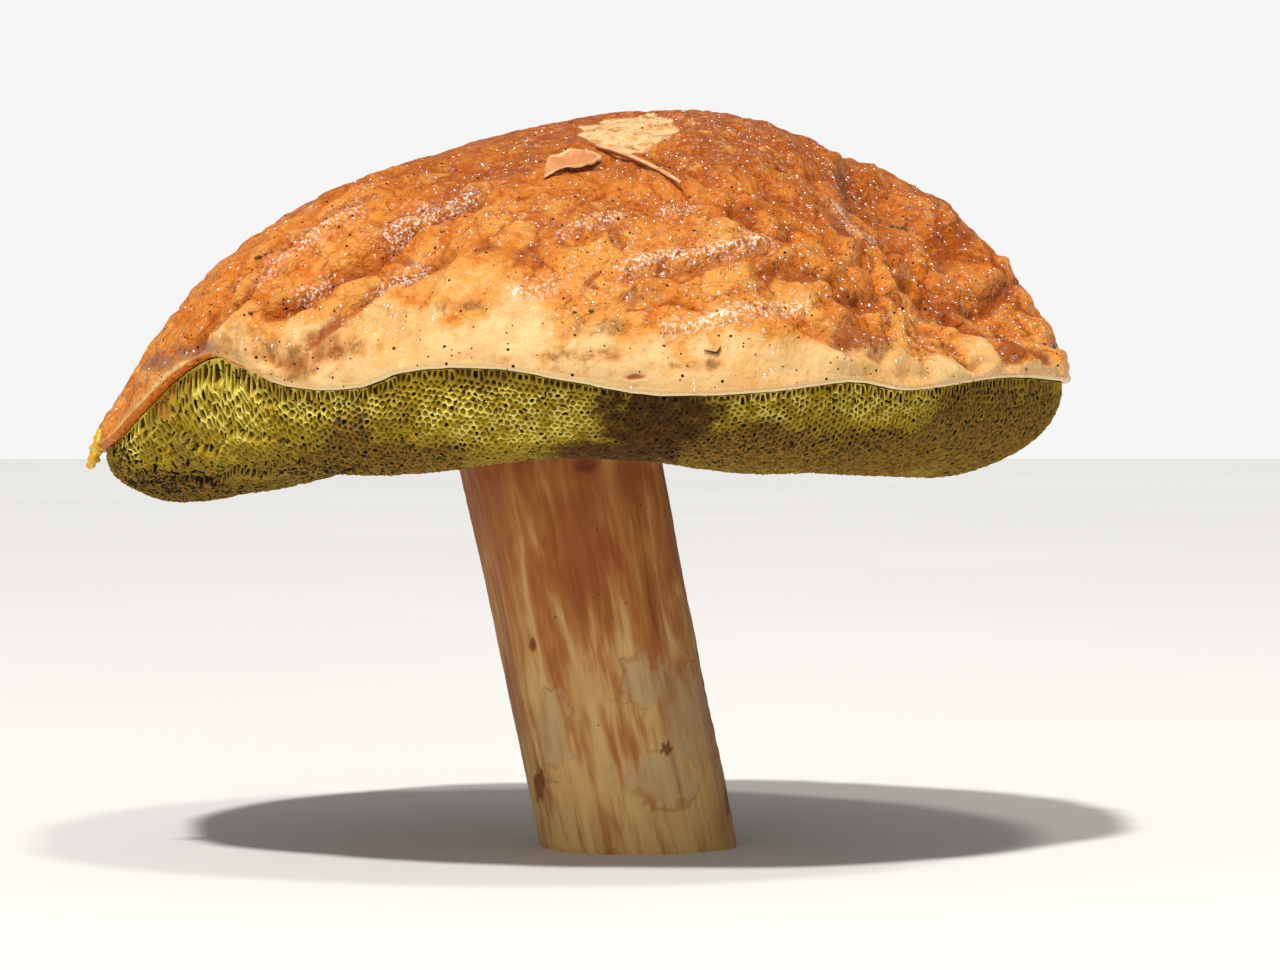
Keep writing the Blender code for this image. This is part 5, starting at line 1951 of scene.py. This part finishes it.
@dataclass
class Studio:
    """A plain pale floor, soft lights and the photograph's camera."""

    target: tuple[float, float, float] = (0.0003, 0.0, 0.0577)
    distance: float = 0.75
    elevation: float = 1.5
    # Focal length and sensor width in millimetres
    lens: float = 131.84
    sensor_width: float = 36.0
    floor_reach: float = 3.0
    key_place: tuple[float, float, float] = (-0.25, -0.75, 1.38)
    key_strength: float = 2.7
    key_spread: float = 4.0
    world_light: float = 0.28
    backdrop: float = 0.92
    lamps: tuple[Lamp, ...] = (
        Lamp("front_fill", (-0.5, -1.35, 0.10), 0.7, 4.5, (1.0, 0.95, 0.88)),
        Lamp("sparkle", (0.12, -0.30, 1.20), 0.12, 4.0, (1.0, 0.93, 0.80)),
    )

    def build(self) -> None:
        """Makes the floor, the world, the lights and the camera."""
        self.floor()
        self.world()
        for lamp in self.lamps:
            lamp.make()
        self.sun()
        self.camera()

    def floor(self) -> None:
        """Makes the floor, a square in the plane of the cut."""
        reach = self.floor_reach
        corners = np.array([[-reach, -reach, 0], [reach, -reach, 0], [reach, reach, 0], [-reach, reach, 0]])
        floor = new_piece("floor", corners, [np.array([[0, 1, 2, 3]])], {})
        r = Recipe("pale_floor", Specular_IOR_Level=0.1)
        tone = r.ease(r.noise(0.4, 2), 0.3, 0.7)
        colour = r.mix(tone, (0.80, 0.80, 0.80), (0.83, 0.83, 0.83))
        floor.data.materials.append(r.finish(colour, 0.9, r.bump(r.noise(0.01, 2), 0.0002, 0.1)))

    def world(self) -> None:
        """Makes the world, whose backdrop is brighter for the camera than the light that it gives."""
        world = bpy.data.worlds.new("pale_world")
        bpy.context.scene.world = world
        world.use_nodes = True
        nodes, links = world.node_tree.nodes, world.node_tree.links
        background = nodes["Background"]
        background.inputs["Color"].default_value = (1.0, 1.0, 1.0, 1)
        seen = nodes.new("ShaderNodeLightPath")
        bright = nodes.new("ShaderNodeMapRange")
        bright.inputs["To Min"].default_value = self.world_light
        bright.inputs["To Max"].default_value = self.backdrop
        links.new(seen.outputs["Is Camera Ray"], bright.inputs["Value"])
        links.new(bright.outputs["Result"], background.inputs["Strength"])

    def sun(self) -> None:
        """Adds the key light."""
        key = bpy.data.lights.new("key", "SUN")
        key.energy = self.key_strength
        key.angle = math.radians(self.key_spread)
        key.color = (1.0, 0.97, 0.92)
        sun = bpy.data.objects.new("key", key)
        sun.location = self.key_place
        sun.rotation_euler = aim(self.key_place, (0.0, 0.0, 0.0))
        bpy.context.scene.collection.objects.link(sun)

    def camera(self) -> None:
        """Adds the camera, at its distance and elevation in front of its target."""
        scene = bpy.context.scene
        data = bpy.data.cameras.new("camera")
        data.lens = self.lens
        data.sensor_width = self.sensor_width
        data.clip_start = 0.01
        camera = bpy.data.objects.new("camera", data)
        rise = math.radians(self.elevation)
        offset = np.array([0, -math.cos(rise), math.sin(rise)]) * self.distance
        camera.location = tuple(np.array(self.target) + offset)
        camera.rotation_euler = aim(tuple(camera.location), self.target)
        scene.collection.objects.link(camera)
        scene.camera = camera
        scene.view_settings.view_transform = "Standard"


def main() -> None:
    """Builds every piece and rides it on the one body."""
    logging.basicConfig(level=logging.INFO, format="%(name)s: %(message)s")
    cap_form, stem_form = CapForm(), StemForm()
    cap = Cap(cap_form)
    made = [cap.build(), *TubeLayer(cap_form, stem_form).build(), Stem(stem_form).build(), *Litter(cap).build()]
    for piece in made:
        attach(piece, "root")
        piece.data.calc_loop_triangles()
        LOG.info("%s: %d triangles", piece.name, len(piece.data.loop_triangles))
    Studio().build()
    bpy.context.view_layer.update()


if __name__ == "__main__":
    main()
